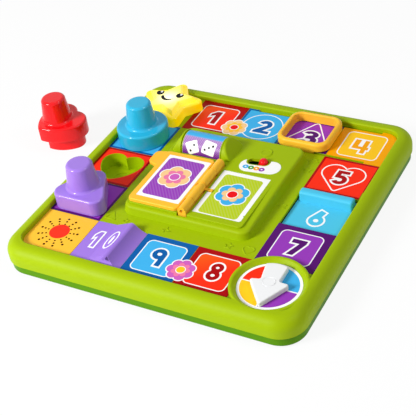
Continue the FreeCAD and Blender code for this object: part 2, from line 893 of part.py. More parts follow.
def build_bottom_housing():
    tray = new_body("tray")
    height = seam - under
    pad(tray, new_sketch(tray, inset_board(1.5)), height)
    soften(tray, 1.2, lies_at(0.0))
    floor = 2.5
    pocket(tray, new_sketch(tray, inset_board(1.5 + wall), lift=height), height - floor)
    place(tray, board_x, z=under)
    lip_outer = slab("lip_outer", inset_board(wall + 0.3), seam - 2.5, seam + 2.0, board_x)
    lip_inner = slab("lip_inner", inset_board(wall + 1.8), seam - 3.5, seam + 3.0, board_x)
    lip = cut("lip", lip_outer, [lip_inner])
    bay = box("bay_block", (-bay_half_wide - 2.0, bay_front - 2.0, under),
              (bay_half_wide + 2.0, bay_back + 2.0, bay_top + 1.3))
    shelf = box("door_shelf", (-bay_half_wide - 2.0, bay_back, under),
                (bay_half_wide + 2.0, door_back + 2.0, under + 4.2))
    boss = rod("door_boss", 3.6, 8.0, (0.0, door_screw_y, under + 3.4))
    solids = [tray, lip, bay, shelf, boss]
    for index, (x, y) in enumerate(screw_places):
        solids.append(rod("tray_post_%d" % index, 3.6, seam - under - 1.0, (x, y, under + 1.0)))
    whole = fuse("tray_solids", solids)
    tools = [box("bay_room", (-bay_half_wide, bay_front, under + 2.0), (bay_half_wide, bay_back, bay_top)),
             box("door_room", (-bay_half_wide - 1.2, bay_front - 1.2, -1.0),
                 (bay_half_wide + 1.2, door_back, under + 2.0)),
             rod("door_pilot", 1.3, 8.0, (0.0, door_screw_y, under + 1.0)),
             rod("door_boss_seat", 4.7, 1.2, (0.0, door_screw_y, under + 1.9))]
    for index, (x, y) in enumerate(screw_places):
        tools.append(rod("shank_hole_%d" % index, 1.6, 12.0, (x, y, 0.0)))
        tools.append(rod("head_hole_%d" % index, 3.0, 4.0, (x, y, 0.0)))
    for index, (x, y) in enumerate(foot_places):
        tools.append(rod("foot_seat_%d" % index, 7.2, 1.2, (x, y, under - 0.6)))
    return cut("bottom_housing", whole, tools)


foot_places = [(sx * 118.0, sy * 118.0) for sx in (-1, 1) for sy in (-1, 1)]
node("bottom_housing", build_bottom_housing())


def build_battery_door():
    plate = box("door_plate", (-bay_half_wide - 0.9, bay_front - 0.9, under),
                (bay_half_wide + 0.9, door_back - 0.3, under + 1.9))
    seat_boss = rod("door_seat_boss", 4.4, 2.9, (0.0, door_screw_y, under))
    ribs = []
    for index in range(4):
        y = bay_front + 12.0 + 11.0 * index
        ribs.append(box("door_rib_%d" % index, (-16.0, y, under + 1.5), (16.0, y + 1.2, under + 2.6)))
    whole = fuse("door_solids", [plate, seat_boss] + ribs)
    notch = fuse("door_screw_seat", [rod("door_head_seat", 3.0, 2.9, (0.0, door_screw_y, 0.0)),
                                     rod("door_shank_hole", 1.6, 6.0, (0.0, door_screw_y, 0.0))])
    finger = rod("door_finger_dish", 6.0, 0.8, (0.0, bay_front + 6.0, under - 0.2))
    return cut("battery_door", whole, [notch, finger])


node("battery_door", build_battery_door())


def screw(label, x, y, head_bottom, shank):
    """A pan head self-tapping screw with a cross recess, head down."""
    head = rod(label + "_head", 2.7, 1.8, (x, y, head_bottom))
    body = rod(label + "_shank", 1.3, shank, (x, y, head_bottom + 1.8))
    joined = fuse(label + "_solid", [head, body])
    low = head_bottom - 0.1
    high = head_bottom + 0.9
    slots = [box(label + "_slot_a", (x - 1.6, y - 0.35, low), (x + 1.6, y + 0.35, high)),
             box(label + "_slot_b", (x - 0.35, y - 1.6, low), (x + 0.35, y + 1.6, high))]
    return cut(label, joined, slots)


node("battery_door_screw", screw("door_screw", 0.0, door_screw_y, under + 0.1, 5.6))
node("housing_screws", group("screw_set", [
    screw("case_screw_%d" % index, x, y, 2.2, 13.0) for index, (x, y) in enumerate(screw_places)]))
node("rubber_feet", group("foot_set", [
    rod("foot_%d" % index, 7.0, under + 0.6, (x, y, 0.0)) for index, (x, y) in enumerate(foot_places)]))


def battery(index):
    x = dim("batteryPitch") * (index - 1.0)
    start = -31.6
    length = float(dim("batteryLong"))
    can = rod("battery_can_%d" % index, dim("batteryRadius"), dim("batteryLong") - 1.5,
              (x, start, dim("batteryZ")), (0, 1, 0))
    cap = rod("battery_cap_%d" % index, 2.6, 1.6, (x, start + length - 1.6, dim("batteryZ")), (0, 1, 0))
    return fuse("battery_%d" % index, [can, cap])


node("batteries", group("battery_set", [battery(index) for index in range(3)]))


def contacts():
    plates = []
    for index in range(3):
        x = dim("batteryPitch") * (index - 1.0)
        plates.append(box("contact_back_%d" % index, (x - 4.0, 18.4, 6.5), (x + 4.0, 19.0, 16.0)))
        spring = rod("contact_coil_%d" % index, 3.0, 4.4, (x, -36.0, dim("batteryZ")), (0, 1, 0))
        bore = rod("contact_coil_bore_%d" % index, 2.2, 5.0, (x, -36.2, dim("batteryZ")), (0, 1, 0))
        plates.append(cut("contact_front_%d" % index, spring, [bore]))
    return plates


node("battery_contacts", group("contact_set", contacts()))

# Electronics

def build_circuit_board():
    solids = [box("board_plate", board_low, board_high)]
    solids.append(box("board_chip", (18.0, 50.0, 25.7), (28.0, 60.0, 27.2)))
    solids.append(rod("board_capacitor", 2.5, 3.6, (44.0, 56.0, 25.7)))
    solids.append(box("board_switch_pads", (17.0, 33.5, 25.7), (40.0, 42.0, 26.3)))
    return fuse("circuit_board", solids)


node("circuit_board", build_circuit_board())


def build_speaker():
    x, y = tile_centre(0, 0)
    body = new_body("speaker_driver")
    profile = polygon_of([
        (0.0, 0.0),
        (8.5, 0.0),
        (8.5, 4.2),
        (13.0, 5.4),
        (18.0, 9.4),
        (20.0, 9.4),
        (20.0, 10.6),
        (17.2, 10.6),
        (15.6, 9.6),
        (6.0, 6.4),
        (0.0, 8.0),
    ])
    revolve(body, new_sketch(body, profile, "XZ_Plane"))
    return place(body, x, y, deck_under - 10.6)


node("speaker_driver", build_speaker())


def build_lamp():
    x = dim("starX")
    y = dim("starY")
    plate = rod("lamp_plate", 11.0, 1.4, (x, y, 6.0))
    bulb = rod("lamp_bulb", 2.5, 2.4, (x, y, 7.3))
    dome = doc.addObject("Part::Sphere", "lamp_dome")
    dome.Radius = 2.5
    place(dome, x, y, 9.7)
    post = rod("lamp_post", 3.0, 2.6, (x, y, under + 2.5))
    return fuse("star_lamp", [plate, bulb, dome, post])


node("star_lamp", build_lamp())


def push_switch(label, x, y, bottom):
    base = box(label + "_base", (x - 3.0, y - 3.0, bottom), (x + 3.0, y + 3.0, bottom + 3.4))
    plunger = rod(label + "_plunger", 1.7, 1.4, (x, y, bottom + 3.3))
    return fuse(label, [base, plunger])


key_switch_x = -34.0
key_middle_y = cell * -2.0
node("push_switches", group("switch_set", [
    push_switch("key_switch", key_switch_x, key_middle_y, 3.5),
    push_switch("star_switch_a", dim("starX") - 7.0, dim("starY"), 7.4),
    push_switch("star_switch_b", dim("starX") + 7.0, dim("starY"), 7.4)]))

# Printed tile labels and the speaker tile

label_top = deck + dim("labelThick")


def tile_label(name, column, row, cutters=None):
    gap = dim("labelGap")
    left, right = tile_span(column, field_left, field_right)
    front, back = tile_span(row, field_front, field_back)
    low = (left + gap, front + gap, deck)
    sheet_solid = box(name + "_sheet", low, (right - gap, back - gap, label_top))
    return node(name, cut(name, sheet_solid, cutters) if cutters else sheet_solid)


def boss_clearance(label):
    return rod(label, dim("bossRadius") + 0.3, 6.0, (spinner_x, spinner_y, deck - 1.0))


def field_corner(label, column, row):
    """What lies outside the rounded corner of the sunk field at a corner tile."""
    radius = float(dim("recessCorner"))
    sx = 1.0 if column > 2 else -1.0
    sy = 1.0 if row > 2 else -1.0
    gap = float(dim("labelGap"))
    corner_x = float(field_right if column > 2 else field_left) - sx * gap
    corner_y = float(field_back if row > 2 else field_front) - sy * gap
    low = (min(corner_x, corner_x - sx * radius), min(corner_y, corner_y - sy * radius), float(deck) - 1.0)
    high = (max(corner_x, corner_x - sx * radius), max(corner_y, corner_y - sy * radius), float(deck) + 2.0)
    block = box(label + "_block", low, high)
    middle = (corner_x - sx * radius, corner_y - sy * radius, float(deck) - 2.0)
    disc = rod(label + "_disc", radius, 5.0, middle)
    return cut(label, block, [disc])


tile_label("tile_one", 1, 4, [star_room("tile_one_star", deck - 1.0, deck + 2.0)])
tile_label("tile_two", 2, 4, frame_slots(0.3))
sliver = box("tile_three_sliver", (cell * 0.5, frame_back_leg, deck - 1.0),
             (cell * 1.5, cell * 2.5 + 1.0, deck + 2.0))
tile_label("tile_three", 3, 4, frame_slots(0.31) + [sliver])
tile_label("tile_four", 4, 4, frame_slots(0.32) + [field_corner("tile_four_corner", 4, 4)])
five_notch = box("tile_five_notch", (field_right - 2.6, 20.0, deck - 1.0),
                 (field_right + 2.0, 37.4, deck + 2.0))
tile_label("tile_five", 4, 3, [five_notch])
tile_label("tile_seven", 4, 1, [boss_clearance("seven_boss")])
tile_label("tile_eight", 3, 0, [boss_clearance("eight_boss")])
tile_label("tile_nine", 2, 0)
for kind, row in recess_rows.items():
    x, y = recess_centre(kind)
    cutters = [slab(kind + "_label_hole", recess_outline(kind, 0.8), deck - 1.0, deck + 2.0, x, y)]
    if kind == "disc":
        cutters.append(star_room("disc_label_star", deck - 1.0, deck + 2.0))
    tile_label(kind + "_label", 0, row, cutters)


def build_grille():
    """Thirteen rays of three holes each, the holes growing outwards."""
    x, y = tile_centre(0, 0)
    plate = grille_plate("grille_blank", 0.0, deck - 1.6, label_top)
    holes = []
    rays = 13
    for ray in range(rays):
        angle = 2 * math.pi * (ray + 0.35) / rays
        for reach, radius in ((11.6, 0.75), (15.2, 0.9), (18.8, 1.05)):
            spot_x = x + reach * math.cos(angle)
            spot_y = y + reach * math.sin(angle)
            holes.append(rod("hole_%d_%d" % (ray, int(reach)), radius, 6.0, (spot_x, spot_y, deck - 3.0)))
    return cut("speaker_grille", plate, holes)


node("speaker_grille", build_grille())

# Shape pieces: a knob on a flange over a hollow plug

flange_outline = {
    "heart": dim("flangeOver") - 1.2,
    "triangle": dim("flangeOver") - 0.6,
    "disc": dim("flangeOver") - 0.9,
}
knob_centre = {"heart": (-2.2, -2.3), "triangle": (-2.6, -1.2), "disc": (0.0, 0.0)}


def at_heart_cleft(edge):
    middle = edge.BoundBox.Center
    return stands(edge) and abs(middle.x) < 0.01 and middle.y > 0


def shape_piece(kind, x, y, seat_z, turn=0.0):
    """Built round its own centre line with the seat of the flange at height zero."""
    flange_top = dim("flangeThick")
    flange = new_body(kind + "_flange")
    grow = float(flange_outline[kind])
    pad(flange, new_sketch(flange, recess_outline(kind, grow)), flange_top)
    if kind == "heart":
        soften(flange, 4.0, lambda edge: stands(edge) and edge.BoundBox.Center.y < 0)
        soften(flange, 2.5, at_heart_cleft)
    soften(flange, 2.2, lies_at(flange_top))
    soften(flange, 1.0, lies_at(0.0))
    plug = new_body(kind + "_plug")
    plug_sketch = new_sketch(plug, recess_outline(kind, -float(dim("plugGap"))), lift=0.5)
    pad(plug, plug_sketch, dim("plugDeep") + 0.5, down=True)
    if kind == "heart":
        soften(plug, 2.0, lambda edge: stands(edge) and edge.BoundBox.Center.y < 0)
    soften(plug, 1.2, lies_at(-dim("plugDeep")))
    knob = new_body(kind + "_knob")
    foot = float(dim("knobFoot"))
    top_radius = float(dim("knobRadius"))
    low = float(flange_top)
    high = float(dim("knobTall"))
    profile = polygon_of([
        (0.0, low - 1.0),
        (foot + 3.0, low - 1.0),
        (foot + 3.0, low - 0.2, (foot + 0.9, low + 0.8)),
        (foot, low + 2.9),
        (top_radius, high - 3.4, (top_radius - 0.9, high - 1.1)),
        (top_radius - 3.1, high - 0.1),
        (0.0, high),
    ])
    revolve(knob, new_sketch(knob, profile, "XZ_Plane"))
    knob_x, knob_y = knob_centre[kind]
    place(knob, knob_x, knob_y)
    solid = fuse(kind + "_solid", [flange, plug, knob])
    core = slab(kind + "_core", hollow_outline(kind), -dim("plugDeep") - 1.0, flange_top - 3.0)
    bore = rod(kind + "_knob_bore", 10.0, high - 3.0, (knob_x, knob_y, 0.0))
    hollow = cut(kind + "_piece", solid, [core, bore])
    return node(kind + "_piece", place(hollow, x, y, seat_z, angle=turn))


seat = label_top + 0.2
for kind in ("triangle", "disc"):
    x, y = recess_centre(kind)
    shape_piece(kind, x, y, seat)
loose_x = -203.8
loose_y = 47.2
loose_turn = -28.5
shape_piece("heart", loose_x, loose_y, dim("plugDeep"), loose_turn)

# Light-up star button

def star_fit():
    """The star's own outline, to trim what spans its inside."""
    body = new_body("star_fit")
    pad(body, new_sketch(body, star_outline(-2.2)), 4.0)
    return body


def build_star():
    wall_tall = 18.8
    body = new_body("star_wall")
    pad(body, new_sketch(body, star_outline(0.0)), wall_tall)
    soften(body, 5.4, at_star_tip)
    soften(body, 4.0, at_star_valley)
    soften(body, 2.4, lies_at(wall_tall))
    raised = new_body("star_raised")
    pad(raised, new_sketch(raised, star_outline(-4.2)), 4.8, taper=-34.0)
    place(raised, z=wall_tall - 0.9)
    solid = fuse("star_solid", [body, raised])
    core = new_body("star_core")
    pad(core, new_sketch(core, star_outline(-3.0)), wall_tall - 2.0)
    place(core, z=-1.0)
    hollow = cut("star_hollow", solid, [core])
    bridge = box("star_bridge", (-36.0, -2.4, 0.0), (36.0, 2.4, 1.6))
    inside = common("star_bridge_fit", bridge, star_fit())
    return place(fuse("star_button", [hollow, inside]), dim("starX"), dim("starY"), 15.0)


node("star_button", build_star())

# Sliding frame of the back row and the keeper under the deck

frame_x = cell
leg_half = 14.0


def build_frame():
    ring = new_body("frame_ring")
    height = dim("frameTopZ") - dim("frameBottomZ")
    pad(ring, new_sketch(ring, rectangle_of(dim("frameLong"), dim("frameDeep"), Size(12.0, "12"))), height)
    soften(ring, 3.0, lies_at(height))
    soften(ring, 1.6, lies_at(0.0))
    window = rectangle_of(dim("frameLong") - 9.4, dim("frameDeep") - 8.8, Size(7.6, "7.6"))
    pocket(ring, new_sketch(ring, window, lift=height), height + 1.0)

    def inner_top(edge):
        box_of = edge.BoundBox
        reach = max(abs(box_of.XMin), abs(box_of.XMax), abs(box_of.YMin), abs(box_of.YMax))
        return lies_at(height)(edge) and reach < float(dim("frameLong")) / 2 - 4.0
    soften(ring, 1.2, inner_top)
    place(ring, frame_x, dim("frameY"), dim("frameBottomZ"))
    legs = []
    for index, y in enumerate((frame_front_leg, frame_back_leg)):
        reach = dim("legThick") / 2
        legs.append(box("frame_leg_%d" % index, (frame_x - leg_half, y - reach, 18.2),
                        (frame_x + leg_half, y + reach, dim("frameBottomZ") + 2.2)))
    return fuse("frame_slider", [ring] + legs)


node("frame_slider", build_frame())


def build_keeper():
    plate = box("keeper_plate", (frame_x - leg_half - 1.0, frame_front_leg - 2.4, 16.6),
                (frame_x + leg_half + 1.0, frame_back_leg + 1.6, 18.2))
    window = box("keeper_window", (frame_x - leg_half + 5.0, frame_front_leg + 5.0, 16.0),
                 (frame_x + leg_half - 5.0, frame_back_leg - 5.0, 19.0))
    return cut("frame_keeper", plate, [window])


node("frame_keeper", build_keeper())

# Sliding panel of tile six and the track it runs in

panel_left = window_left + 0.7
panel_right = window_right - 0.6
panel_front = window_front - 1.0
panel_back = window_back - 0.8


def build_six_slider():
    panel = box("six_panel", (panel_left, panel_front, dim("panelZ") - dim("panelThick")),
                (panel_right, panel_back, dim("panelZ")))
    bar = new_body("six_bar")
    rise = dim("barTopZ") - dim("panelZ")
    profile = polygon_of([
        (0.0, -0.5),
        (10.6, -0.5),
        (10.2, rise - 3.0, (9.3, float(rise) - 0.9)),
        (7.2, rise),
        (3.8, rise, (1.7, float(rise) - 0.9)),
        (0.8, rise - 3.0),
    ])
    length = panel_right - panel_left - 3.0
    sketch = new_sketch(bar, profile, "YZ_Plane")
    pad(bar, sketch, length)
    low = float(rise) - 3.0
    soften(bar, 1.9, lambda edge: edge.BoundBox.XLength < 1e-4 and edge.BoundBox.ZMax > low)
    place(bar, panel_left + 1.4, 11.6, dim("panelZ"))
    return fuse("six_slider", [panel, bar])


node("six_slider", build_six_slider())


def build_six_track():
    low = (window_left - 1.6, window_front - 40.0, dim("panelZ") - dim("panelThick") - 2.2)
    high = (window_right + 1.6, window_back + 1.6, deck_under)
    block = box("track_block", low, high)
    room = box("track_room", (window_left, window_front - 38.4, dim("panelZ") - dim("panelThick") - 0.4),
               (window_right, window_back, deck_under + 1.0))
    return cut("six_track", block, [room])


node("six_track", build_six_track())

# Hinged key of tile ten

def build_ten_key():
    left = float(key_left) + 0.5
    right = float(key_right) - 0.6
    base = 10.5
    body = new_body("key_body")
    outline = polygon_of([
        (left, base + 4.5),
        (left, 23.6),
        (left + 19.5, 24.3),
        (left + 33.8, 30.2, (left + 36.6, 31.2)),
        (left + 39.2, 30.3, (left + 43.6, 26.2)),
        (right, 22.4),
        (right, base),
        (left + 12.0, base),
    ])
    depth = key_back - key_front - 0.9
    sketch = new_sketch(body, outline, "XZ_Plane", lift=-(key_front + 0.5))
    pad(body, sketch, depth, down=True)
    bevel = new_body("key_bevel")
    cutter = polygon_of([(-1.0, 0.0), (0.0, 0.0), (6.0, 9.0), (-1.0, 9.0)])
    pad(bevel, new_sketch(bevel, cutter, "YZ_Plane"), cell)
    place(bevel, key_left - 0.5, key_front + 0.5, 21.7)
    shaped = cut("key_shaped", body, [bevel])
    room = box("key_room", (left + 2.0, key_front + 2.6, base - 1.0), (right - 2.0, key_back - 2.6, 21.4))
    hollow = cut("key_hollow", shaped, [room])
    pin_start = (dim("keyPivotX"), key_front - 2.2, dim("keyPivotZ"))
    pin = rod("key_pin", 1.5, key_back - key_front + 4.4, pin_start, (0, 1, 0))
    web = box("key_web", (dim("keyPivotX") - 1.6, key_front + 1.0, base + 4.6),
              (dim("keyPivotX") + 1.6, key_back - 1.0, 22.0))
    rib = box("key_rib", (key_switch_x - 1.5, key_middle_y - 8.0, 12.4),
              (key_switch_x + 1.5, key_middle_y + 8.0, 22.0))
    return fuse("ten_key", [hollow, pin, web, rib])


node("ten_key", build_ten_key())

# Spinner

def build_dial():
    disc = rod("dial_disc", dim("dialRadius"), 0.3, (spinner_x, spinner_y, dim("dialZ")))
    bore = rod("dial_bore", 3.2, 2.0, (spinner_x, spinner_y, dim("dialZ") - 1.0))
    return cut("spinner_dial", disc, [bore])


node("spinner_dial", build_dial())


def build_arrow():
    """A broad arrow with a flared tail; drawn pointing along minus Y and then turned."""
    body = new_body("arrow_blade")
    outline = polygon_of([
        (0.0, -27.0),
        (17.8, 1.0),
        (8.2, 2.4),
        (10.0, 21.2, (0.0, 23.4)),
        (-10.0, 21.2),
        (-8.2, 2.4),
        (-17.8, 1.0),
    ])
    pad(body, new_sketch(body, outline), dim("arrowThick"))
    soften(body, 1.9, stands)
    soften(body, 1.3, lies_at(dim("arrowThick")))
    axle = rod("arrow_axle", 2.5, 10.6, (0.0, 0.0, -8.4))
    barb = rod("arrow_barb", 3.1, 1.2, (0.0, 0.0, -8.4))
    ring = rod("arrow_cap_groove", 6.0, 0.35, (0.0, 0.0, dim("arrowThick") - 0.3))
    island = rod("arrow_cap", 5.4, 1.0, (0.0, 0.0, dim("arrowThick") - 0.9))
    groove = cut("arrow_groove", ring, [island])
    solid = fuse("arrow_solid", [body, axle, barb])
    arrow = cut("spinner_arrow", solid, [groove])
    return place(arrow, spinner_x, spinner_y, dim("dialZ") + 0.7, angle=6.0)


node("spinner_arrow", build_arrow())

# Picture roller

def build_roller():
    length = dim("rollerRight") - dim("rollerLeft")
    body = new_body("roller")
    radius = float(dim("rollerRadius"))
    profile = polygon_of([
        (1.55, 0.0),
        (radius - 0.8, 0.0),
        (radius, 0.8),
        (radius, length - 0.8),
        (radius - 0.8, length),
        (1.55, length),
    ])
    revolve(body, new_sketch(body, profile, "XZ_Plane"))
    return place(body, dim("rollerLeft"), dim("rollerY"), dim("rollerZ"), axis=(0, 1, 0), angle=90.0)


node("roller", build_roller())
node("roller_axle", roller_rod("roller_axle"))

# Book page, its hinge and the cards

front_knuckle = (-53.6, -37.0)
first_barrel = (-36.6, -17.0)
second_barrel = (-13.0, 8.0)
rear_knuckle = (8.4, 23.4)
knuckle = dim("knuckleRadius")
channel_floor = 28.8


def fixed_knuckle(label, span):
    """An arch: round over the pin, straight sides down to the foot in the channel."""
    start, stop = span
    foot_side = knuckle - 0.2
    round_part = rod(label + "_round", knuckle, stop - start, (hinge_x, start, hinge_z), (0, 1, 0))
    foot = box(label + "_foot", (hinge_x - foot_side, start, channel_floor),
               (hinge_x + foot_side, stop, hinge_z))
    return fuse(label, [round_part, foot])


def build_hinge_base():
    strip = box("hinge_strip", (hinge_x - 4.6, front_knuckle[0] + 0.4, channel_floor),
                (hinge_x + 4.6, rear_knuckle[1], 30.2))
    solids = [strip, fixed_knuckle("front_arch", front_knuckle), fixed_knuckle("rear_arch", rear_knuckle)]
    base = fuse("hinge_solids", solids)
    bore = rod("hinge_bore", dim("hingePinRadius"), 82.0, (hinge_x, -56.0, hinge_z), (0, 1, 0))
    mouth = rod("hinge_mouth", 1.9, 2.0, (hinge_x, front_knuckle[0] - 0.4, hinge_z), (0, 1, 0))
    return cut("hinge_base", base, [bore, mouth])


node("hinge_base", build_hinge_base())
pin_place = (hinge_x, front_knuckle[0] + 1.8, hinge_z)
node("hinge_pin", rod("hinge_pin", dim("hingePinRadius"), 74.4, pin_place, (0, 1, 0)))


def build_catch():
    """The small catch between the two barrels that feels whether the page is open."""
    start, stop = catch_span
    ring = rod("catch_ring", 3.6, stop - start, (hinge_x, start, hinge_z), (0, 1, 0))
    arm = box("catch_arm", (hinge_x + 1.0, start, 32.2), (hinge_x + 11.0, stop, 33.3))
    foot = box("catch_foot", (hinge_x - 2.6, start, 30.2), (hinge_x + 2.6, stop, hinge_z))
    whole = fuse("catch_solid", [ring, arm, foot])
    slot = box("catch_slot", (hinge_x + 6.6, start + 0.9, 31.0), (hinge_x + 9.0, stop - 0.9, 36.0))
    bore = rod("catch_bore", dim("hingePinRadius"), 6.0, (hinge_x, start - 1.0, hinge_z), (0, 1, 0))
    return cut("page_catch", whole, [slot, bore])


node("page_catch", build_catch())
page_bottom = dim("pageBottomZ")
page_top = page_bottom + dim("pageThick")


def build_page():
    leaf = new_body("page_leaf")
    left = dim("pageLeft")
    right = hinge_x - 5.0
    width = right - left
    depth = page_back - page_front
    pad(leaf, new_sketch(leaf, rectangle_of(width, depth, Size(4.5, "4.5"))), dim("pageThick"))
    soften(leaf, 1.1, lies_at(dim("pageThick")))
    place(leaf, (left + right) / 2, (page_front + page_back) / 2, page_bottom)
    tab = new_body("page_tab")
    tab_outline = rounded_of([(-5.4, -5.5), (6.0, -9.5), (6.0, 6.0), (-5.4, 3.5)], 5.2)
    pad(tab, new_sketch(tab, tab_outline), dim("pageThick"))
    soften(tab, 1.1, lies_at(dim("pageThick")))
    place(tab, left + 0.3, page_back - 11.4, page_bottom)
    solids = [leaf, tab]
    for index, (start, stop) in enumerate((first_barrel, second_barrel)):
        low_end = (hinge_x, start, hinge_z)
        barrel = rod("page_barrel_%d" % index, knuckle - 0.2 * index, stop - start, low_end, (0, 1, 0))
        solids.append(barrel)
        solids.append(box("page_bridge_%d" % index, (hinge_x - 12.0, start, page_bottom + 0.2),
                          (hinge_x, stop, page_top - 0.2)))
    whole = fuse("page_solids", solids)
    bore = rod("page_bore", dim("hingePinRadius") + 0.05, 60.0, (hinge_x, -45.0, hinge_z), (0, 1, 0))
    relief = dim("knuckleRadius") + 0.5
    notches = []
    for index, (start, stop) in enumerate((front_knuckle, catch_span, rear_knuckle)):
        notches.append(box("page_notch_%d" % index, (hinge_x - relief, start - 1.0, 20.0),
                           (hinge_x + relief, stop + 0.4, 45.0)))
    notches[1].Placement.Base.y = catch_span[0] - 0.4
    notches[1].Width = catch_span[1] - catch_span[0] + 0.8
    notches[2].Placement.Base.y = rear_knuckle[0] - 0.4
    notches[2].Width = rear_knuckle[1] - rear_knuckle[0] + 2.0
    sticker = box("page_label_seat", (left + 5.6, page_front + 6.6, page_top - 0.3),
                  (hinge_x - 6.6, page_back - 5.6, page_top + 1.0))
    return cut("book_page", whole, [bore, sticker] + notches)


node("book_page", build_page())
node("page_label", box("page_label", (dim("pageLeft") + 5.8, page_front + 6.8, page_top - 0.3),
                       (hinge_x - 6.8, page_back - 5.8, page_top)))


def build_card():
    card = box("card_sheet", (card_left + 0.3, card_front + 0.3, platform - card_depth),
               (card_right - 0.3, card_back - 0.3, platform - card_depth + 0.3))
    corner = box("card_corner", (0.0, 0.0, 0.0), (8.0, 8.0, 6.0))
    place(corner, card_right + 0.3, card_front - 8.3, 30.0, angle=45.0)
    nick = box("card_nick", (card_right - 1.2, -39.4, 30.0), (card_right + 1.0, -37.4, 36.0))
    catch_room = box("card_catch", (0.0, catch_span[0] - 0.6, 30.0),
                     (hinge_x + 12.0, catch_span[1] + 0.6, 36.0))
    return cut("card_label", card, [corner, nick, catch_room])


node("card_label", build_card())

# Switch

def build_switch_label():
    plate = slab("switch_plate", rectangle_of(Size(40.0, "40"), Size(19.0, "19"), Size(9.0, "9")),
                 platform, platform + 0.25, 33.2, 31.6, 6.0)
    bite_outline = rectangle_of(Size(switch_slot_long + 3.0, "23.5"), Size(22.0, "22"), Size(5.6, "5.6"))
    bite = slab("switch_bite", bite_outline, platform - 1.0, platform + 2.0,
                float(dim("switchX")) - 0.4, float(dim("switchY")) + 5.4, 6.0)
    return cut("switch_label", plate, [bite])


node("switch_label", build_switch_label())
switch_travel = 10.6


def build_switch_knob():
    """A domed button on a shoe that runs under the platform plate."""
    radius = 4.1
    body = new_body("switch_stem")
    profile = polygon_of([
        (0.0, 0.0),
        (radius, 0.0),
        (radius, 5.2, (radius * 0.74, 7.9)),
        (0.6, 8.8),
        (0.0, 8.8),
    ])
    revolve(body, new_sketch(body, profile, "XZ_Plane"))
    shoe = box("switch_shoe", (-6.5, -5.6, -1.5), (6.5, 5.6, 0.2))
    whole = fuse("switch_knob", [body, shoe])
    turn = math.radians(float(dim("switchTurn")))
    reach = switch_travel / 2
    knob_x = dim("switchX") + reach * math.cos(turn)
    knob_y = dim("switchY") + reach * math.sin(turn)
    return place(whole, knob_x, knob_y, 28.4, angle=float(dim("switchTurn")))


node("switch_knob", build_switch_knob())

# Checks, then one file for each piece

doc.recompute()
for thing in doc.Objects:
    bad = [state for state in thing.State if state in ("Invalid", "Error")]
    if bad:
        raise RuntimeError("%s (%s) is %s" % (thing.Name, thing.Label, bad))
for name, thing in nodes.items():
    shape = thing.Shape
    if shape.isNull() or not shape.isValid() or not shape.Solids:
        raise RuntimeError("%s has no valid solid" % name)
for name, thing in sorted(nodes.items()):
    thing.Shape.exportStep("parts/%s.step" % name)
    print("%-20s solids %2d volume %9.0f" % (name, len(thing.Shape.Solids), thing.Shape.Volume))
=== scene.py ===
import bpy
import bmesh
import math
from mathutils import Matrix, Vector
from mathutils.bvhtree import BVHTree


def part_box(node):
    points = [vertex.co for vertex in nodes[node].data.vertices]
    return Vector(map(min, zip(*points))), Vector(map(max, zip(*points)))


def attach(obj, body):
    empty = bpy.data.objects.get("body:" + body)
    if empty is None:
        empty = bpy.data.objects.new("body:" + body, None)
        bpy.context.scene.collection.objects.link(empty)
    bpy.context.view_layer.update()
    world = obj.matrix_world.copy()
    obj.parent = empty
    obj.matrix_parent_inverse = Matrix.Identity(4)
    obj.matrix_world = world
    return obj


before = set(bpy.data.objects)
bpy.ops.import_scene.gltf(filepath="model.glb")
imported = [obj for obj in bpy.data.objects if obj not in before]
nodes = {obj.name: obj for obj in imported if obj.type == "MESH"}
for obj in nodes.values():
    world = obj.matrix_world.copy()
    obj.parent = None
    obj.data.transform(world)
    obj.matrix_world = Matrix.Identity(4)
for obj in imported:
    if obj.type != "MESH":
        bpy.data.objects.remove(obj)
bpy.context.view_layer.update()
print("frame loaded:", len(nodes), "nodes")

# Paint colours, as they look on the screen
hue = {
    "lime": (158, 184, 0),
    "cardGreen": (184, 206, 0),
    "baseGreen": (86, 140, 0),
    "butter": (255, 194, 52),
    "orange": (250, 166, 0),
    "amber": (255, 200, 30),
    "scarlet": (255, 46, 18),
    "darkRed": (172, 0, 6),
    "cherry": (238, 12, 20),
    "sky": (64, 178, 236),
    "deepBlue": (0, 92, 166),
    "pool": (40, 178, 218),
    "lagoon": (76, 196, 232),
    "violet": (150, 58, 184),
    "plum": (84, 10, 108),
    "lavender": (160, 122, 222),
    "highlightYellow": (255, 222, 8),
    "paper": (252, 252, 252),
    "chalk": (240, 241, 242),
    "steel": (200, 202, 206),
    "ink": (16, 14, 22),
    # hole: painted shade for the speaker holes and their walls
    "hole": (92, 46, 4),
    "leaf": (60, 160, 56),
    "blush": (240, 124, 168),
    "rose": (208, 96, 190),
    "tan": (250, 206, 146),
    "board": (20, 96, 44),
}


def shade(name):  # screen colour (sRGB) to the linear colour that a shader takes
    out = []
    for part in hue[name]:
        c = part / 255
        out.append(c / 12.92 if c <= 0.04045 else ((c + 0.055) / 1.055) ** 2.4)
    return (*out, 1.0)


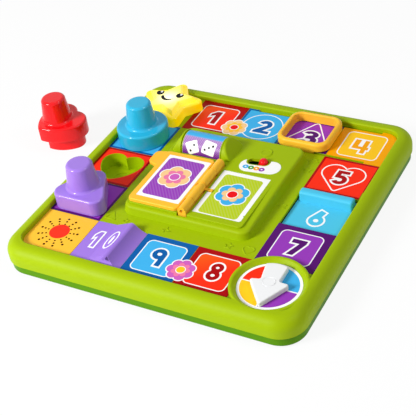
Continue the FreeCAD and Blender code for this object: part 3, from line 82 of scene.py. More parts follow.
class Wire:
    # a shader socket that can stand in a Python expression
    def __init__(self, tree, socket=None):
        self.tree = tree
        self.socket = socket

    def add(self, kind, setup=None, sockets=None, out=0):
        node = self.tree.nodes.new(kind)
        for name, value in (setup or {}).items():
            if name == "stops":
                ramp = node.color_ramp
                while len(ramp.elements) < len(value):
                    ramp.elements.new(0.5)
                for element, (place, colour) in zip(ramp.elements, value):
                    element.position = place
                    element.color = colour
            else:
                setattr(node, name, value)
        for name, value in (sockets or {}).items():
            if isinstance(value, Wire):
                self.tree.links.new(value.socket, node.inputs[name])
            else:
                node.inputs[name].default_value = value
        return Wire(self.tree, node.outputs[out])

    def maths(self, operation, *values):
        return self.add("ShaderNodeMath", {"operation": operation}, dict(enumerate(values)))

    def __add__(self, other):
        return self.maths("ADD", self, other)

    __radd__ = __add__

    def __sub__(self, other):
        return self.maths("SUBTRACT", self, other)

    def __rsub__(self, other):
        return self.maths("SUBTRACT", other, self)

    def __mul__(self, other):
        return self.maths("MULTIPLY", self, other)

    __rmul__ = __mul__

    def __truediv__(self, other):
        return self.maths("DIVIDE", self, other)

    def __abs__(self):
        return self.maths("ABSOLUTE", self)

    def above(self, other):
        return self.maths("MAXIMUM", self, other)

    def below(self, other):
        return self.maths("MINIMUM", self, other)

    def wave(self, length):  # 0 to 1 and back, once in each length
        return self.maths("SINE", self * (math.tau / length)) * 0.5 + 0.5

    def smooth(self, edge, soft=0.00012):  # 1 where the value is under edge, with a thin soft step
        step = {"interpolation_type": "SMOOTHSTEP"}
        ends = {"From Min": edge - soft, "From Max": edge + soft, "To Min": 1.0, "To Max": 0.0}
        return self.add("ShaderNodeMapRange", step, {"Value": self, **ends})

    def over(self, under, colour):  # colour laid over another where this mask is 1
        return self.add("ShaderNodeMix", {"data_type": "RGBA"}, {0: self, 6: under, 7: colour}, out=2)


def place(wire):  # the three object coordinates
    point = wire.add("ShaderNodeTexCoord", out=3)
    split = {"Vector": point}
    return point, [wire.add("ShaderNodeSeparateXYZ", {}, split, out=i) for i in range(3)]


def hypot(a, b):
    return (a * a + b * b).maths("SQRT", a * a + b * b)


def boxDistance(x, y, halfX, halfY, corner):  # distance to a rounded rectangle's edge
    dx = abs(x) - (halfX - corner)
    dy = abs(y) - (halfY - corner)
    outer = hypot(dx.above(0.0), dy.above(0.0))
    return outer + dx.above(dy).below(0.0) - corner


# Moulded plastic: a faint cloud in the colour and a fine grain

plasticLook = {"cloud": 26.0, "mottle": 0.04, "grain": 900.0, "bump": 0.02, "grainHeight": 0.00006,
               "rough": 0.3, "roughGrain": 0.08, "roughCloud": 0.06, "specular": 0.14}


def plastic(name, paint, rough=None, specular=None, glow=None):
    # paint is a colour name or a function that draws the print, and glow a colour or such a function
    look = bpy.data.materials.new(name)
    look.use_nodes = True
    tree = look.node_tree
    shader = tree.nodes["Principled BSDF"]
    wire = Wire(tree)
    point, (x, y, z) = place(wire)
    cloud = wire.add("ShaderNodeTexNoise", {}, {"Vector": point, "Scale": plasticLook["cloud"], "Detail": 3.0,
                                                "Roughness": 0.55})
    grain = wire.add("ShaderNodeTexNoise", {}, {"Vector": point, "Scale": plasticLook["grain"], "Detail": 2.0})
    colour = paint(wire, x, y, z) if callable(paint) else shade(paint)
    drift = 1.0 + (cloud - 0.5) * plasticLook["mottle"]
    level = wire.add("ShaderNodeCombineColor", {}, {0: drift, 1: drift, 2: drift})
    tinted = wire.add("ShaderNodeMix", {"data_type": "RGBA", "blend_type": "MULTIPLY"},
                      {0: 1.0, 6: colour, 7: level}, out=2)
    tree.links.new(tinted.socket, shader.inputs["Base Color"])
    sheen = (rough or plasticLook["rough"]) + (grain - 0.5) * plasticLook["roughGrain"]
    sheen = sheen + (cloud - 0.5) * plasticLook["roughCloud"]
    tree.links.new(sheen.socket, shader.inputs["Roughness"])
    relief = wire.add("ShaderNodeBump", {}, {"Height": grain, "Strength": plasticLook["bump"],
                                             "Distance": plasticLook["grainHeight"]})
    tree.links.new(relief.socket, shader.inputs["Normal"])
    shader.inputs["Specular IOR Level"].default_value = specular or plasticLook["specular"]
    if glow:
        shader.inputs["Emission Strength"].default_value = 1.0
    if callable(glow):
        tree.links.new(glow(wire, x, y, z).socket, shader.inputs["Emission Color"])
    elif glow:
        shader.inputs["Emission Color"].default_value = glow
    return look


def metal(name, tint, rough):
    look = plastic(name, tint, rough=rough, specular=0.5)
    look.node_tree.nodes["Principled BSDF"].inputs["Metallic"].default_value = 1.0
    return look


def dress(node, look):
    thing = nodes[node]
    thing.data.materials.clear()
    thing.data.materials.append(look)


def middle(node):
    low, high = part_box(node)
    return (low + high) / 2, (high - low) / 2


def topOf(node):
    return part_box(node)[1].z


# Printed films: one finish for the labels and for the shapes printed on them

printLook = {"rough": 0.34, "specular": 0.08, "thick": 0.00006}


def printed(name, paint):
    return plastic(name, paint, printLook["rough"], printLook["specular"])


def label(node, paint):
    dress(node, printed(node + "_print", paint))


# Printed tiles: a dark border round a lighter panel, and a white line between

tileLook = {"pitch": 0.052, "outerColumn": 0.1056, "panel": 0.0195, "corner": 0.0052, "line": 0.00105,
            "border": 0.0024, "borderCorner": 0.0006, "twoRing": (0.0, 0.104, 0.0208),
            "warm": {"slope": (-3.0, 4.0), "start": 0.02, "most": 0.12}}


def panelPrint(column, row, border, panel):
    midX = tileLook["outerColumn"] if column == 4 else (column - 2) * tileLook["pitch"]
    midY = (row - 2) * tileLook["pitch"]

    def paint(wire, x, y, z):
        u = x - midX
        v = y - midY
        edge = boxDistance(u, v, tileLook["panel"], tileLook["panel"], tileLook["corner"])
        field = shade(panel)
        if panel == "scarlet":  # a little warmer towards one corner
            warm = tileLook["warm"]
            tint = u * warm["slope"][0] + v * warm["slope"][1] + warm["start"]
            field = tint.above(0.0).below(warm["most"]).over(field, shade("amber"))
        inside = edge.smooth(0.0).over(shade(border), field)
        return abs(edge).smooth(tileLook["line"] / 2).over(inside, shade("paper"))
    return paint


def borderPrint(node, border, panel, ring=None):
    centre, half = middle(node)

    def paint(wire, x, y, z):
        u = x - centre.x
        v = y - centre.y
        rim = tileLook["border"]
        edge = boxDistance(u, v, half.x - rim, half.y - rim, tileLook["borderCorner"])
        inside = edge.smooth(0.0).over(shade(border), shade(panel))
        if ring:
            line = abs(hypot(x - ring[0], y - ring[1]) - ring[2]).smooth(tileLook["line"] / 2)
            inside = line.over(inside, shade("paper"))
        return inside
    return paint


tilePrints = {
    "tile_one": panelPrint(1, 4, "darkRed", "scarlet"),
    "tile_two": borderPrint("tile_two", "deepBlue", "sky", tileLook["twoRing"]),
    "tile_three": borderPrint("tile_three", "plum", "violet"),
    "tile_four": panelPrint(4, 4, "orange", "amber"),
    "tile_five": borderPrint("tile_five", "darkRed", "scarlet"),
    "tile_seven": panelPrint(4, 1, "plum", "violet"),
    "tile_eight": panelPrint(3, 0, "darkRed", "scarlet"),
    "tile_nine": panelPrint(2, 0, "deepBlue", "sky"),
    "triangle_label": borderPrint("triangle_label", "plum", "violet"),
    "heart_label": borderPrint("heart_label", "darkRed", "scarlet"),
    "disc_label": borderPrint("disc_label", "deepBlue", "sky"),
}
for node, paint in tilePrints.items():
    label(node, paint)
print("tiles printed")

# Mouldings: each one's material name, colour, roughness and specular level

mouldings = {
    "top_housing": ("limePlastic", "lime", 0.5, 0.12),
    "bottom_housing": ("basePlastic", "baseGreen", 0.4, 0.08),
    "battery_door": ("doorPlastic", "baseGreen", 0.44, None),
    "triangle_piece": ("trianglePlastic", "lavender", 0.17, 0.3),
    "ten_key": ("keyPlastic", "lavender", 0.34, 0.1),
    "disc_piece": ("discPlastic", "pool", 0.15, 0.3),
    "six_slider": ("sliderPlastic", "lagoon", 0.32, None),
    "six_track": ("trackPlastic", "ink", 0.5, None),
    "heart_piece": ("heartPlastic", "cherry", 0.15, 0.3),
    "switch_knob": ("switchPlastic", "cherry", 0.15, 0.22),
    "spinner_arrow": ("arrowPlastic", "chalk", 0.34, None),
}
for node in ("frame_slider", "frame_keeper", "hinge_base", "page_catch", "book_page"):
    mouldings[node] = (node + "_plastic", "butter", None, None)
for node in ("rubber_feet", "speaker_driver", "push_switches", "batteries"):
    mouldings[node] = (node + "_dark", "ink", 0.6, None)
for node in ("circuit_board", "star_lamp"):
    mouldings[node] = (node + "_green", "board", 0.5, None)
for node, look in mouldings.items():
    dress(node, plastic(*look))
for node in ("battery_door_screw", "housing_screws", "battery_contacts", "roller_axle", "hinge_pin"):
    dress(node, metal(node + "_steel", "steel", 0.3))

# Speaker plate: a printed red disc, with painted shade: a dark ring round each hole, on the same rays as the
# holes, and the hole walls painted dark

grilleLook = {"discAt": (-0.1050, -0.1032), "disc": 0.0096, "raysAt": (-0.1053, -0.10435), "rays": 13,
              "turn": 0.35, "holes": [(0.0116, 0.00090), (0.0152, 0.00106), (0.0188, 0.00122)],
              "wall": 0.00022, "wallSoft": 0.00008, "wallReach": 0.0208}


def grillePrintAndShade(wire, x, y, z):
    onDisc = hypot(x - grilleLook["discAt"][0], y - grilleLook["discAt"][1]).smooth(grilleLook["disc"])
    colour = onDisc.over(shade("butter"), shade("scarlet"))
    u = x - grilleLook["raysAt"][0]
    v = y - grilleLook["raysAt"][1]
    reach = hypot(u, v)
    step = math.tau / grilleLook["rays"]
    ray = v.maths("ARCTAN2", v, u) / step - grilleLook["turn"]
    aside = (ray - ray.maths("ROUND", ray)) * step * reach
    # painted shade: a dark ring round each hole makes it look wider and deeper
    for spot, wide in grilleLook["holes"]:
        colour = hypot(reach - spot, aside).smooth(wide).over(colour, shade("hole"))
    # painted shade: the hole walls below the top take the dark hole colour
    low = z.smooth(topOf("speaker_grille") - grilleLook["wall"], grilleLook["wallSoft"])
    shadedWall = low * reach.smooth(grilleLook["wallReach"])
    return shadedWall.over(colour, shade("hole"))


dress("speaker_grille", plastic("grillePlastic", grillePrintAndShade))

# Spinner dial: four quarters with white lines and a white ring

dialLook = {"centre": (0.1055, -0.104), "disc": 0.0251, "line": 0.0006, "soft": 0.00005}


def dialPrint(wire, x, y, z):
    u = x - dialLook["centre"][0]
    v = y - dialLook["centre"][1]
    right = (u * -1).smooth(0.0, dialLook["soft"])
    upper = (v * -1).smooth(0.0, dialLook["soft"])
    top = right.over(shade("scarlet"), shade("sky"))
    low = right.over(shade("amber"), shade("violet"))
    quarters = upper.over(low, top)
    lined = abs(u).below(abs(v)).smooth(dialLook["line"]).over(quarters, shade("paper"))
    return hypot(u, v).smooth(dialLook["disc"]).over(shade("paper"), lined)


label("spinner_dial", dialPrint)

# Cards, with faint stripes, and the switch plate

stripeLook = {"lean": (0.8, 0.6), "pitch": 0.0026, "pale": 0.07}
cardLook = {
    "page_label": {"paint": "violet", "low": (-0.0519, -0.0430), "high": (-0.0139, 0.0142), "corner": 0.0042},
    "card_label": {"paint": "cardGreen", "low": (0.0076, -0.0455), "high": (0.0466, 0.0124), "corner": 0.0034},
}


def cardPrint(look):
    midX = (look["low"][0] + look["high"][0]) / 2
    midY = (look["low"][1] + look["high"][1]) / 2

    def paint(wire, x, y, z):
        u = x - midX
        v = y - midY
        edge = boxDistance(u, v, look["high"][0] - midX, look["high"][1] - midY, look["corner"])
        stripes = (u * stripeLook["lean"][0] + v * stripeLook["lean"][1]).wave(stripeLook["pitch"])
        field = (stripes * stripeLook["pale"]).over(shade(look["paint"]), shade("paper"))
        return edge.smooth(0.0).over(shade("paper"), field)
    return paint


for node, look in cardLook.items():
    label(node, cardPrint(look))
label("switch_label", "paper")

# Picture roller: a sky band on top, pale scales on violet that fade out towards the front while the violet
# darkens, and two dice printed round it

rollerLook = {
    "axis": (0.0435, 0.0326), "radius": 0.0140, "left": -0.0483, "right": -0.0083,
    "skyEdge": 0.0032, "skySoft": 0.0014, "scale": 0.0021, "scalePale": 0.9, "fieldPale": 0.24,
    "fade": {"From Min": 0.002, "From Max": 0.021, "To Min": 0.62, "To Max": 0.0},
    "deepRise": 40.0, "deepMost": 0.8, "dieCorner": 0.0017, "pip": 0.0012,
    "dice": [
        {"at": (-0.0377, 0.0145), "turn": -0.42, "half": 0.0062,
         "pips": [(-0.0361, 0.0121), (-0.0392, 0.0180)]},
        {"at": (-0.0202, 0.0124), "turn": 0.20, "half": 0.0068,
         "pips": [(-0.0242, 0.0144), (-0.0201, 0.0122), (-0.0161, 0.0101)]},
    ],
}


def rollerPrint(wire, x, y, z):
    dy = y - rollerLook["axis"][0]
    dz = z - rollerLook["axis"][1]
    along = dy.maths("ARCTAN2", dy * -1, dz) * rollerLook["radius"]  # 0 on top, growing towards the front
    scale = (x + along).wave(rollerLook["scale"]) * (x - along).wave(rollerLook["scale"])
    fade = along.add("ShaderNodeMapRange", {}, {"Value": along, **rollerLook["fade"]})
    deep = (1.0 - scale) * (along * rollerLook["deepRise"]).below(rollerLook["deepMost"])
    pale = scale * fade * rollerLook["scalePale"] + fade * rollerLook["fieldPale"]
    field = pale.over(deep.over(shade("violet"), shade("plum")), shade("paper"))
    colour = along.smooth(rollerLook["skyEdge"], rollerLook["skySoft"]).over(field, shade("sky"))
    for die in rollerLook["dice"]:
        u = x - die["at"][0]
        v = along - die["at"][1]
        c = math.cos(die["turn"])
        s = math.sin(die["turn"])
        edge = boxDistance(u * c + v * s, v * c - u * s, die["half"], die["half"], rollerLook["dieCorner"])
        colour = edge.smooth(0.0).over(colour, shade("paper"))
        for px, py in die["pips"]:
            colour = hypot(x - px, along - py).smooth(rollerLook["pip"]).over(colour, shade("ink"))
    midX = (rollerLook["left"] + rollerLook["right"]) / 2
    printed = abs(x - midX).smooth((rollerLook["right"] - rollerLook["left"]) / 2)
    return printed.over(shade("lime"), colour)


dress("roller", plastic("rollerPrint", rollerPrint, rough=0.3))

# Star button: clear yellow with a painted glow, as if lit from inside: painted light makes the middle paler, and
# painted shade dims the glow on the bevel and the walls

starLook = {
    "centre": (-0.105, 0.1044), "full": 0.036,
    "bevel": 0.0004, "bevelSoft": 0.0003, "wall": 0.0310, "wallSoft": 0.0030, "rough": 0.14, "specular": 0.4,
    # paint: the base colour, with painted light making the middle paler
    "paint": [(0.0, (1.0, 0.96, 0.50, 1)), (0.40, (1.0, 0.86, 0.10, 1)), (0.85, (1.0, 0.72, 0.0, 1))],
    "glow": [(0.0, (0.80, 0.78, 0.60, 1)), (0.35, (0.62, 0.56, 0.20, 1)), (0.70, (0.42, 0.33, 0.0, 1))],
    # bevel and wall glows: dimmer, as painted shade on the sloping faces
    "bevelShadedGlow": (0.40, 0.29, 0.0, 1.0), "wallShadedGlow": (0.42, 0.27, 0.0, 1.0),
}


def starShade(wire, x, y, stops):  # a colour that changes from the middle to the tips
    reach = hypot(x - starLook["centre"][0], y - starLook["centre"][1])
    return wire.add("ShaderNodeValToRGB", {"stops": stops}, {0: reach / starLook["full"]})


def starPaintedLight(wire, x, y, z):
    return starShade(wire, x, y, starLook["paint"])


# the glow, dimmed by painted shade on the bevel and below the wall height
def starGlowAndShade(wire, x, y, z):
    shadedBevel = z.smooth(topOf("star_button") - starLook["bevel"], starLook["bevelSoft"])
    shadedWall = z.smooth(starLook["wall"], starLook["wallSoft"])
    light = shadedBevel.over(starShade(wire, x, y, starLook["glow"]), starLook["bevelShadedGlow"])
    return shadedWall.over(light, starLook["wallShadedGlow"])


dress("star_button", plastic("starPlastic", starPaintedLight, starLook["rough"], starLook["specular"], starGlowAndShade))
print("mouldings painted")

# Printed shapes, cut from flat curves

shapeLook = {"weld": 0.000004, "mitre": 0.45, "lobe": 0.7, "heart": {"lobe": 0.29, "apart": 0.21, "tip": 0.08,
                                                                    "low": 0.53}}


def finish(name, bm, look, body):
    mesh = bpy.data.meshes.new(name)
    bm.to_mesh(mesh)
    bm.free()
    thing = bpy.data.objects.new(name, mesh)
    bpy.context.scene.collection.objects.link(thing)
    mesh.materials.append(look)
    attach(thing, body)
    return thing


def meshOf(curve):  # a bmesh of a curve, before its place is applied
    holder = bpy.data.objects.new(curve.name + "_curve", curve)
    bpy.context.scene.collection.objects.link(holder)
    bpy.context.view_layer.update()
    mesh = bpy.data.meshes.new_from_object(holder.evaluated_get(bpy.context.evaluated_depsgraph_get()))
    bpy.data.objects.remove(holder)
    bm = bmesh.new()
    bm.from_mesh(mesh)
    bpy.data.meshes.remove(mesh)
    bmesh.ops.remove_doubles(bm, verts=bm.verts, dist=shapeLook["weld"])
    bmesh.ops.recalc_face_normals(bm, faces=bm.faces)
    return bm


def flatPrint(name, outlines, z, look, body="base"):
    # outlines: the outer line first, then its holes, each a list of points
    half = printLook["thick"] / 2
    curve = bpy.data.curves.new(name, "CURVE")
    curve.dimensions = "2D"
    curve.fill_mode = "BOTH"
    curve.extrude = half
    for points in outlines:
        spline = curve.splines.new("POLY")
        spline.points.add(len(points) - 1)
        for corner, (px, py) in zip(spline.points, points):
            corner.co = (px, py, 0, 1)
        spline.use_cyclic_u = True
    bm = meshOf(curve)
    bmesh.ops.translate(bm, verts=bm.verts, vec=(0, 0, z + half))
    return finish(name, bm, look, body)


def turned(points, centre, angle=0.0, size=1.0):
    c = math.cos(angle) * size
    s = math.sin(angle) * size
    return [(centre[0] + px * c - py * s, centre[1] + px * s + py * c) for px, py in points]


def arcPoints(cx, cy, radius, start, stop, steps=14):
    out = []
    for i in range(steps + 1):
        a = math.radians(start + (stop - start) * i / steps)
        out.append((cx + radius * math.cos(a), cy + radius * math.sin(a)))
    return out


def ovalPoints(cx, cy, rx, ry, steps=40):
    return [(cx + rx * px, cy + ry * py) for px, py in arcPoints(0, 0, 1, 0, 360 - 360 / steps, steps - 1)]


def grown(points, amount):
    # the outline moved outwards by the amount, with mitred corners
    count = len(points)
    area = sum(points[i - 1][0] * points[i][1] - points[i][0] * points[i - 1][1] for i in range(count))
    side = amount if area > 0 else -amount
    out = []
    for i in range(count):
        here = Vector(points[i])
        came = (here - Vector(points[i - 1])).normalized()
        goes = (Vector(points[(i + 1) % count]) - here).normalized()
        normal = Vector((came.y + goes.y, -came.x - goes.x)).normalized()
        reach = side / max(shapeLook["mitre"], normal.dot(Vector((goes.y, -goes.x))))
        out.append(tuple(here + normal * reach))
    return out


def rounded(corners, radius, steps=8):
    # a polygon with its corners rounded by arcs
    out = []
    for i, corner in enumerate(corners):
        here = Vector(corner)
        back = (Vector(corners[i - 1]) - here).normalized()
        ahead = (Vector(corners[(i + 1) % len(corners)]) - here).normalized()
        half = back.angle(ahead) / 2
        centre = here + (back + ahead).normalized() * radius / math.sin(half)
        start = here + back * radius / math.tan(half)
        stop = here + ahead * radius / math.tan(half)
        first = math.atan2(*(start - centre).yx)
        sweep = (math.atan2(*(stop - centre).yx) - first + math.pi) % math.tau - math.pi
        for k in range(steps + 1):
            a = first + sweep * k / steps
            out.append((centre.x + radius * math.cos(a), centre.y + radius * math.sin(a)))
    return out


def heartPoints(width, height):
    # two round lobes, with straight sides to a rounded tip
    share = shapeLook["heart"]
    lobe = width * share["lobe"]
    lobeX = width * share["apart"]
    lobeY = height / 2 - lobe
    low = -height * share["low"]
    slope = math.degrees(math.atan2(lobeY - low, lobeX) - math.asin(lobe / math.hypot(lobeX, lobeY - low)))
    tipRadius = width * share["tip"]
    tipY = low + tipRadius / math.cos(math.radians(slope))
    notch = 180 - math.degrees(math.acos(lobeX / lobe))
    tip = arcPoints(0, tipY, tipRadius, -90 - slope, -90 + slope, 8)
    right = arcPoints(lobeX, lobeY, lobe, slope - 90, notch, 22)
    left = [(-px, py) for px, py in reversed(right[:-1])]
    return tip + right + left


def starPoints(tip, valley, first, count=5):
    out = []
    for i in range(count * 2):
        a = math.radians(first + 180 / count * i)
        reach = tip if i % 2 == 0 else valley
        out.append((reach * math.cos(a), reach * math.sin(a)))
    return out


def petalPoints(radius, depth, count, turn=0.0, steps=12):
    # a flower's outline: round lobes that meet in notches
    out = []
    for i in range(count * steps):
        a = turn + math.tau * i / (count * steps)
        lobe = abs(math.sin(count * (a - turn) / 2)) ** shapeLook["lobe"]
        reach = radius * (1 - depth + depth * lobe)
        out.append((reach * math.cos(a), reach * math.sin(a)))
    return out


inkOf = {}


def inkLook(colour):  # one printed finish for each colour
    if colour not in inkOf:
        inkOf[colour] = printed(colour + "_ink", colour)
    return inkOf[colour]


# Numerals: each figure is an outline with its holes, in millimetres, over a wider white edge. The figures that
# turn back on themselves have a simpler outline for that edge.

def bowl(cx, cy, radius, start, stop):
    return arcPoints(cx, cy, radius, start, stop, 16)


threeOuter = bowl(-0.1, 5.1, 5.7, 162, -26) + [(3.9, 0.8)] + bowl(-0.1, -4.3, 6.5, 44, -162)
fourOuter = [(6.8, 10.7), (6.8, -0.2), (8.9, -0.2), (8.9, -4.4), (6.8, -4.4), (6.8, -10.7), (1.8, -10.7),
             (1.8, -4.4), (-8.9, -4.4)]
fiveOuter = [(-5.6, 11.0), (6.3, 11.0), (6.3, 6.6), (-1.2, 6.6), (-1.3, 3.6)] + bowl(-0.2, -3.6, 7.3, 88, -152)
figures = {
    "1": {"line": [(5.3, -10.7), (5.3, 10.7), (-0.4, 10.7), (-5.3, 5.6), (-5.3, 1.4), (-0.1, 4.4), (-0.1, -10.7)]},
    "2": {"line": bowl(0, 4.0, 6.9, 163, -34)
          + [(1.0, -6.2), (8.1, -6.2), (8.1, -10.5), (-8.1, -10.5), (-8.1, -7.4)] + bowl(0, 4.0, 2.1, -40, 163)},
    "3": {"line": threeOuter + bowl(-0.1, -4.3, 2.1, -162, 78) + [(-2.6, -2.2), (-2.6, 2.2)]
          + bowl(-0.1, 5.1, 1.6, -78, 162),
          "back": threeOuter + [(-2.6, -3.4), (-2.6, 3.6)]},
    "4": {"line": [(-8.6, 10.7), (-2.6, 10.7), (-3.0, -0.2), (1.8, -0.2), (1.8, 10.7)] + fourOuter,
          "back": [(-8.6, 10.7)] + fourOuter},
    "5": {"line": fiveOuter + bowl(-0.2, -3.6, 2.6, -150, 108) + [(-2.4, -0.9), (-6.2, -0.9)],
          "back": fiveOuter + [(-3.6, -4.0), (-4.4, -0.9), (-6.2, -0.9)]},
    "6": {"line": bowl(0, -4.2, 6.8, 62, -205) + [(-0.2, 10.4), (5.0, 8.2)],
          "holes": [ovalPoints(0, -4.2, 2.5, 2.2)]},
    "7": {"line": [(-6.8, 10.5), (6.8, 10.5), (6.8, 6.5), (0.4, -10.5), (-5.5, -10.5), (0.8, 5.3), (-6.8, 5.3)]},
    "8": {"line": bowl(0, 5.15, 5.7, -46, 226) + bowl(0, -4.7, 6.15, 132, 408),
          "holes": [ovalPoints(0, 5.3, 1.7, 1.5), ovalPoints(0, -4.8, 2.1, 1.8)]},
    "9": {"line": bowl(0, 4.2, 6.8, 0, 286) + [(1.7, -10.7), (6.8, -10.7)],
          "holes": [ovalPoints(0, 4.2, 2.3, 2.0)]},
    "0": {"line": ovalPoints(0, 0, 5.0, 11.0, 48), "holes": [ovalPoints(0, 0, 1.9, 6.2, 32)]},
}
numeralLook = {"edge": 0.0018, "lift": 0.00008, "sixFloor": 0.0025}  # sixFloor: over the slider's lowest face


def figureAt(digit, at, size, edge=0.0):
    # the figure's outlines in metres, centred at a point and fitted to a width and height
    spec = figures[digit]
    line = spec["line"]
    lowX = min(px for px, py in line)
    highX = max(px for px, py in line)
    lowY = min(py for px, py in line)
    highY = max(py for px, py in line)
    fitX = size[0] / (highX - lowX)
    fitY = size[1] / (highY - lowY)

    def fitted(points):
        return [(at[0] + (px - (lowX + highX) / 2) * fitX, at[1] + (py - (lowY + highY) / 2) * fitY)
                for px, py in points]
    if edge:
        return [grown(fitted(spec.get("back", line)), edge)]
    return [fitted(line)] + [fitted(hole) for hole in spec.get("holes", [])]


numerals = {
    "one": {"digit": "1", "at": (-0.0539, 0.1042), "size": (0.0102, 0.0210), "ink": "darkRed"},
    "two": {"digit": "2", "at": (0.0020, 0.1041), "size": (0.0168, 0.0212), "ink": "deepBlue"},
    "three": {"digit": "3", "at": (0.0520, 0.1012), "size": (0.0176, 0.0206), "ink": "plum"},
    "four": {"digit": "4", "at": (0.1046, 0.1023), "size": (0.0162, 0.0206), "ink": "orange"},
    "five": {"digit": "5", "at": (0.1053, 0.0513), "size": (0.0134, 0.0202), "ink": "darkRed"},
    "six": {"digit": "6", "at": (0.1058, -0.0055), "size": (0.0134, 0.0214), "ink": "lagoon"},
    "seven": {"digit": "7", "at": (0.1062, -0.0517), "size": (0.0134, 0.0202), "ink": "plum"},
    "eight": {"digit": "8", "at": (0.0544, -0.1031), "size": (0.0120, 0.0212), "ink": "darkRed"},
    "nine": {"digit": "9", "at": (-0.0016, -0.1034), "size": (0.0134, 0.0212), "ink": "deepBlue"},
}
for name, spec in numerals.items():
    if name == "six":
        body = "slider_six"
        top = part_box("six_slider")[0].z + numeralLook["sixFloor"]
    else:
        body = "base"
        top = topOf("tile_" + name)
    flatPrint(name + "_edge", figureAt(spec["digit"], spec["at"], spec["size"], numeralLook["edge"]), top,
              inkLook("paper"), body)
    flatPrint(name + "_figure", figureAt(spec["digit"], spec["at"], spec["size"]), top + numeralLook["lift"],
              inkLook(spec["ink"]), body)
print("numerals set")


# The key's ten: its figures are cut into strips and laid on the key's bent top

keyLook = {
    "figures": {"keyOne": {"digit": "1", "at": (-0.0662, -0.1018), "size": (0.0062, 0.0206)},
                "keyNought": {"digit": "0", "at": (-0.0490, -0.1018), "size": (0.0082, 0.0212)}},
    "layers": [{"part": "edge", "wider": 0.0016, "lift": 0.00004, "ink": "paper"},
               {"part": "figure", "wider": 0.0, "lift": 0.00012, "ink": "lavender"}],
    "above": 0.05, "dropFrom": 0.2, "strip": 0.0015,
}


def cutIntoStrips(thing, step):
    bm = bmesh.new()
    bm.from_mesh(thing.data)
    at = min(v.co.x for v in bm.verts) + step
    high = max(v.co.x for v in bm.verts)
    while at < high:
        geom = list(bm.verts) + list(bm.edges) + list(bm.faces)
        bmesh.ops.bisect_plane(bm, geom=geom, plane_co=(at, 0, 0), plane_no=(1, 0, 0))
        at += step
    bm.to_mesh(thing.data)
    bm.free()


def drape(thing, node, lift):
    source = nodes[node].data
    tree = BVHTree.FromPolygons([v.co for v in source.vertices], [p.vertices for p in source.polygons])
    lowest = min(v.co.z for v in thing.data.vertices)
    for v in thing.data.vertices:
        hit = tree.ray_cast(Vector((v.co.x, v.co.y, keyLook["dropFrom"])), Vector((0, 0, -1)))[0]
        if hit:
            v.co.z = hit.z + lift + (v.co.z - lowest)


for name, spec in keyLook["figures"].items():
    for layer in keyLook["layers"]:
        outlines = figureAt(spec["digit"], spec["at"], spec["size"], layer["wider"])
        piece = flatPrint(name + "_" + layer["part"], outlines, keyLook["above"], inkLook(layer["ink"]), "key_ten")
        cutIntoStrips(piece, keyLook["strip"])
        drape(piece, "ten_key", layer["lift"])

# Line shapes on the tiles: a heart round the five and a triangle round the three

lineLook = {"wide": 0.0013, "heart": (0.0428, 0.0392), "heartAt": (0.1056, 0.0499),
            "triangle": [(0.0281, 0.0900), (0.0755, 0.0900), (0.0517, 0.1290)], "corner": 0.0034}
heartLine = turned(heartPoints(*lineLook["heart"]), lineLook["heartAt"])
flatPrint("fiveHeart", [heartLine, grown(heartLine, -lineLook["wide"])], topOf("tile_five"), inkLook("paper"))
triangleLine = rounded(lineLook["triangle"], lineLook["corner"])
flatPrint("threeTriangle", [triangleLine, grown(triangleLine, -lineLook["wide"])], topOf("tile_three"),
          inkLook("paper"))

# Star face

faceLook = {"eyes": {"left": (-0.1181, 0.1106), "right": (-0.0953, 0.1112)}, "eye": (0.0041, 0.0046),
            "glintAt": (0.0008, 0.0015), "glint": (0.0012, 0.0016), "glintLift": 0.00008,
            "mouth": (-0.1064, 0.1066), "lower": (0.0074, 186, 336), "upper": (0.0070, 315, 196),
            "taper": (0.0016, 0.0018), "bold": 0.0003}
starTop = topOf("star_button")
for side, (x, y) in faceLook["eyes"].items():
    flatPrint(side + "Eye", [ovalPoints(x, y, *faceLook["eye"])], starTop, inkLook("ink"), "star")
    glint = ovalPoints(x + faceLook["glintAt"][0], y + faceLook["glintAt"][1], *faceLook["glint"])
    flatPrint(side + "Glint", [glint], starTop + faceLook["glintLift"], inkLook("paper"), "star")
mouthX, mouthY = faceLook["mouth"]
taperX, taperY = faceLook["taper"]
smile = arcPoints(mouthX, mouthY, *faceLook["lower"], 20)
smile += arcPoints(mouthX + taperX, mouthY + taperY, *faceLook["upper"], 20)
flatPrint("smile", [grown(smile, faceLook["bold"])], starTop, inkLook("ink"), "star")

# Switch plate marks

switchLook = {"marks": [(0.0203, "sky"), (0.0259, "leaf"), (0.0314, "orange"), (0.0368, "violet")],
              "y": 0.0276, "outer": (0.0029, 0.0028), "inner": (0.0010, 0.0009)}
for index, (x, ink) in enumerate(switchLook["marks"]):
    outer = ovalPoints(x, switchLook["y"], *switchLook["outer"])
    inner = ovalPoints(x, switchLook["y"], *switchLook["inner"])
    flatPrint("levelMark%d" % index, [outer, inner], topOf("switch_label"), inkLook(ink))

# Flower prints on the two double places and the cards: petals, a second ring of petals and a middle

flowerLook = {"edge": 0.0011, "notch": 0.20, "blade": 0.68, "bladeNotch": 0.30, "rim": 0.36, "middle": 0.30,
              "step": 0.00007}
flowers = {
    "backFlower": {"at": (-0.0262, 0.0945), "size": 0.0128, "inks": ("tan", "butter", "cherry"), "count": 7,
                   "turn": 0.2, "on": "tile_one", "lift": 0.00002, "body": "base"},
    "frontFlower": {"at": (0.0255, -0.1110), "size": 0.0128, "inks": ("rose", "blush", "amber"), "count": 7,
                    "turn": 0.1, "on": "tile_one", "lift": 0.00002, "body": "base"},
    "pageFlower": {"at": (-0.0330, -0.0125), "size": 0.0155, "inks": ("tan", "blush", "rose"), "count": 6,
                   "turn": 0.3, "on": "page_label", "lift": 0.0, "body": "page"},
    "cardFlower": {"at": (0.0272, -0.0140), "size": 0.0155, "inks": ("sky", "tan", "cherry"), "count": 6,
                   "turn": 0.0, "on": "card_label", "lift": 0.0, "body": "base"},
}


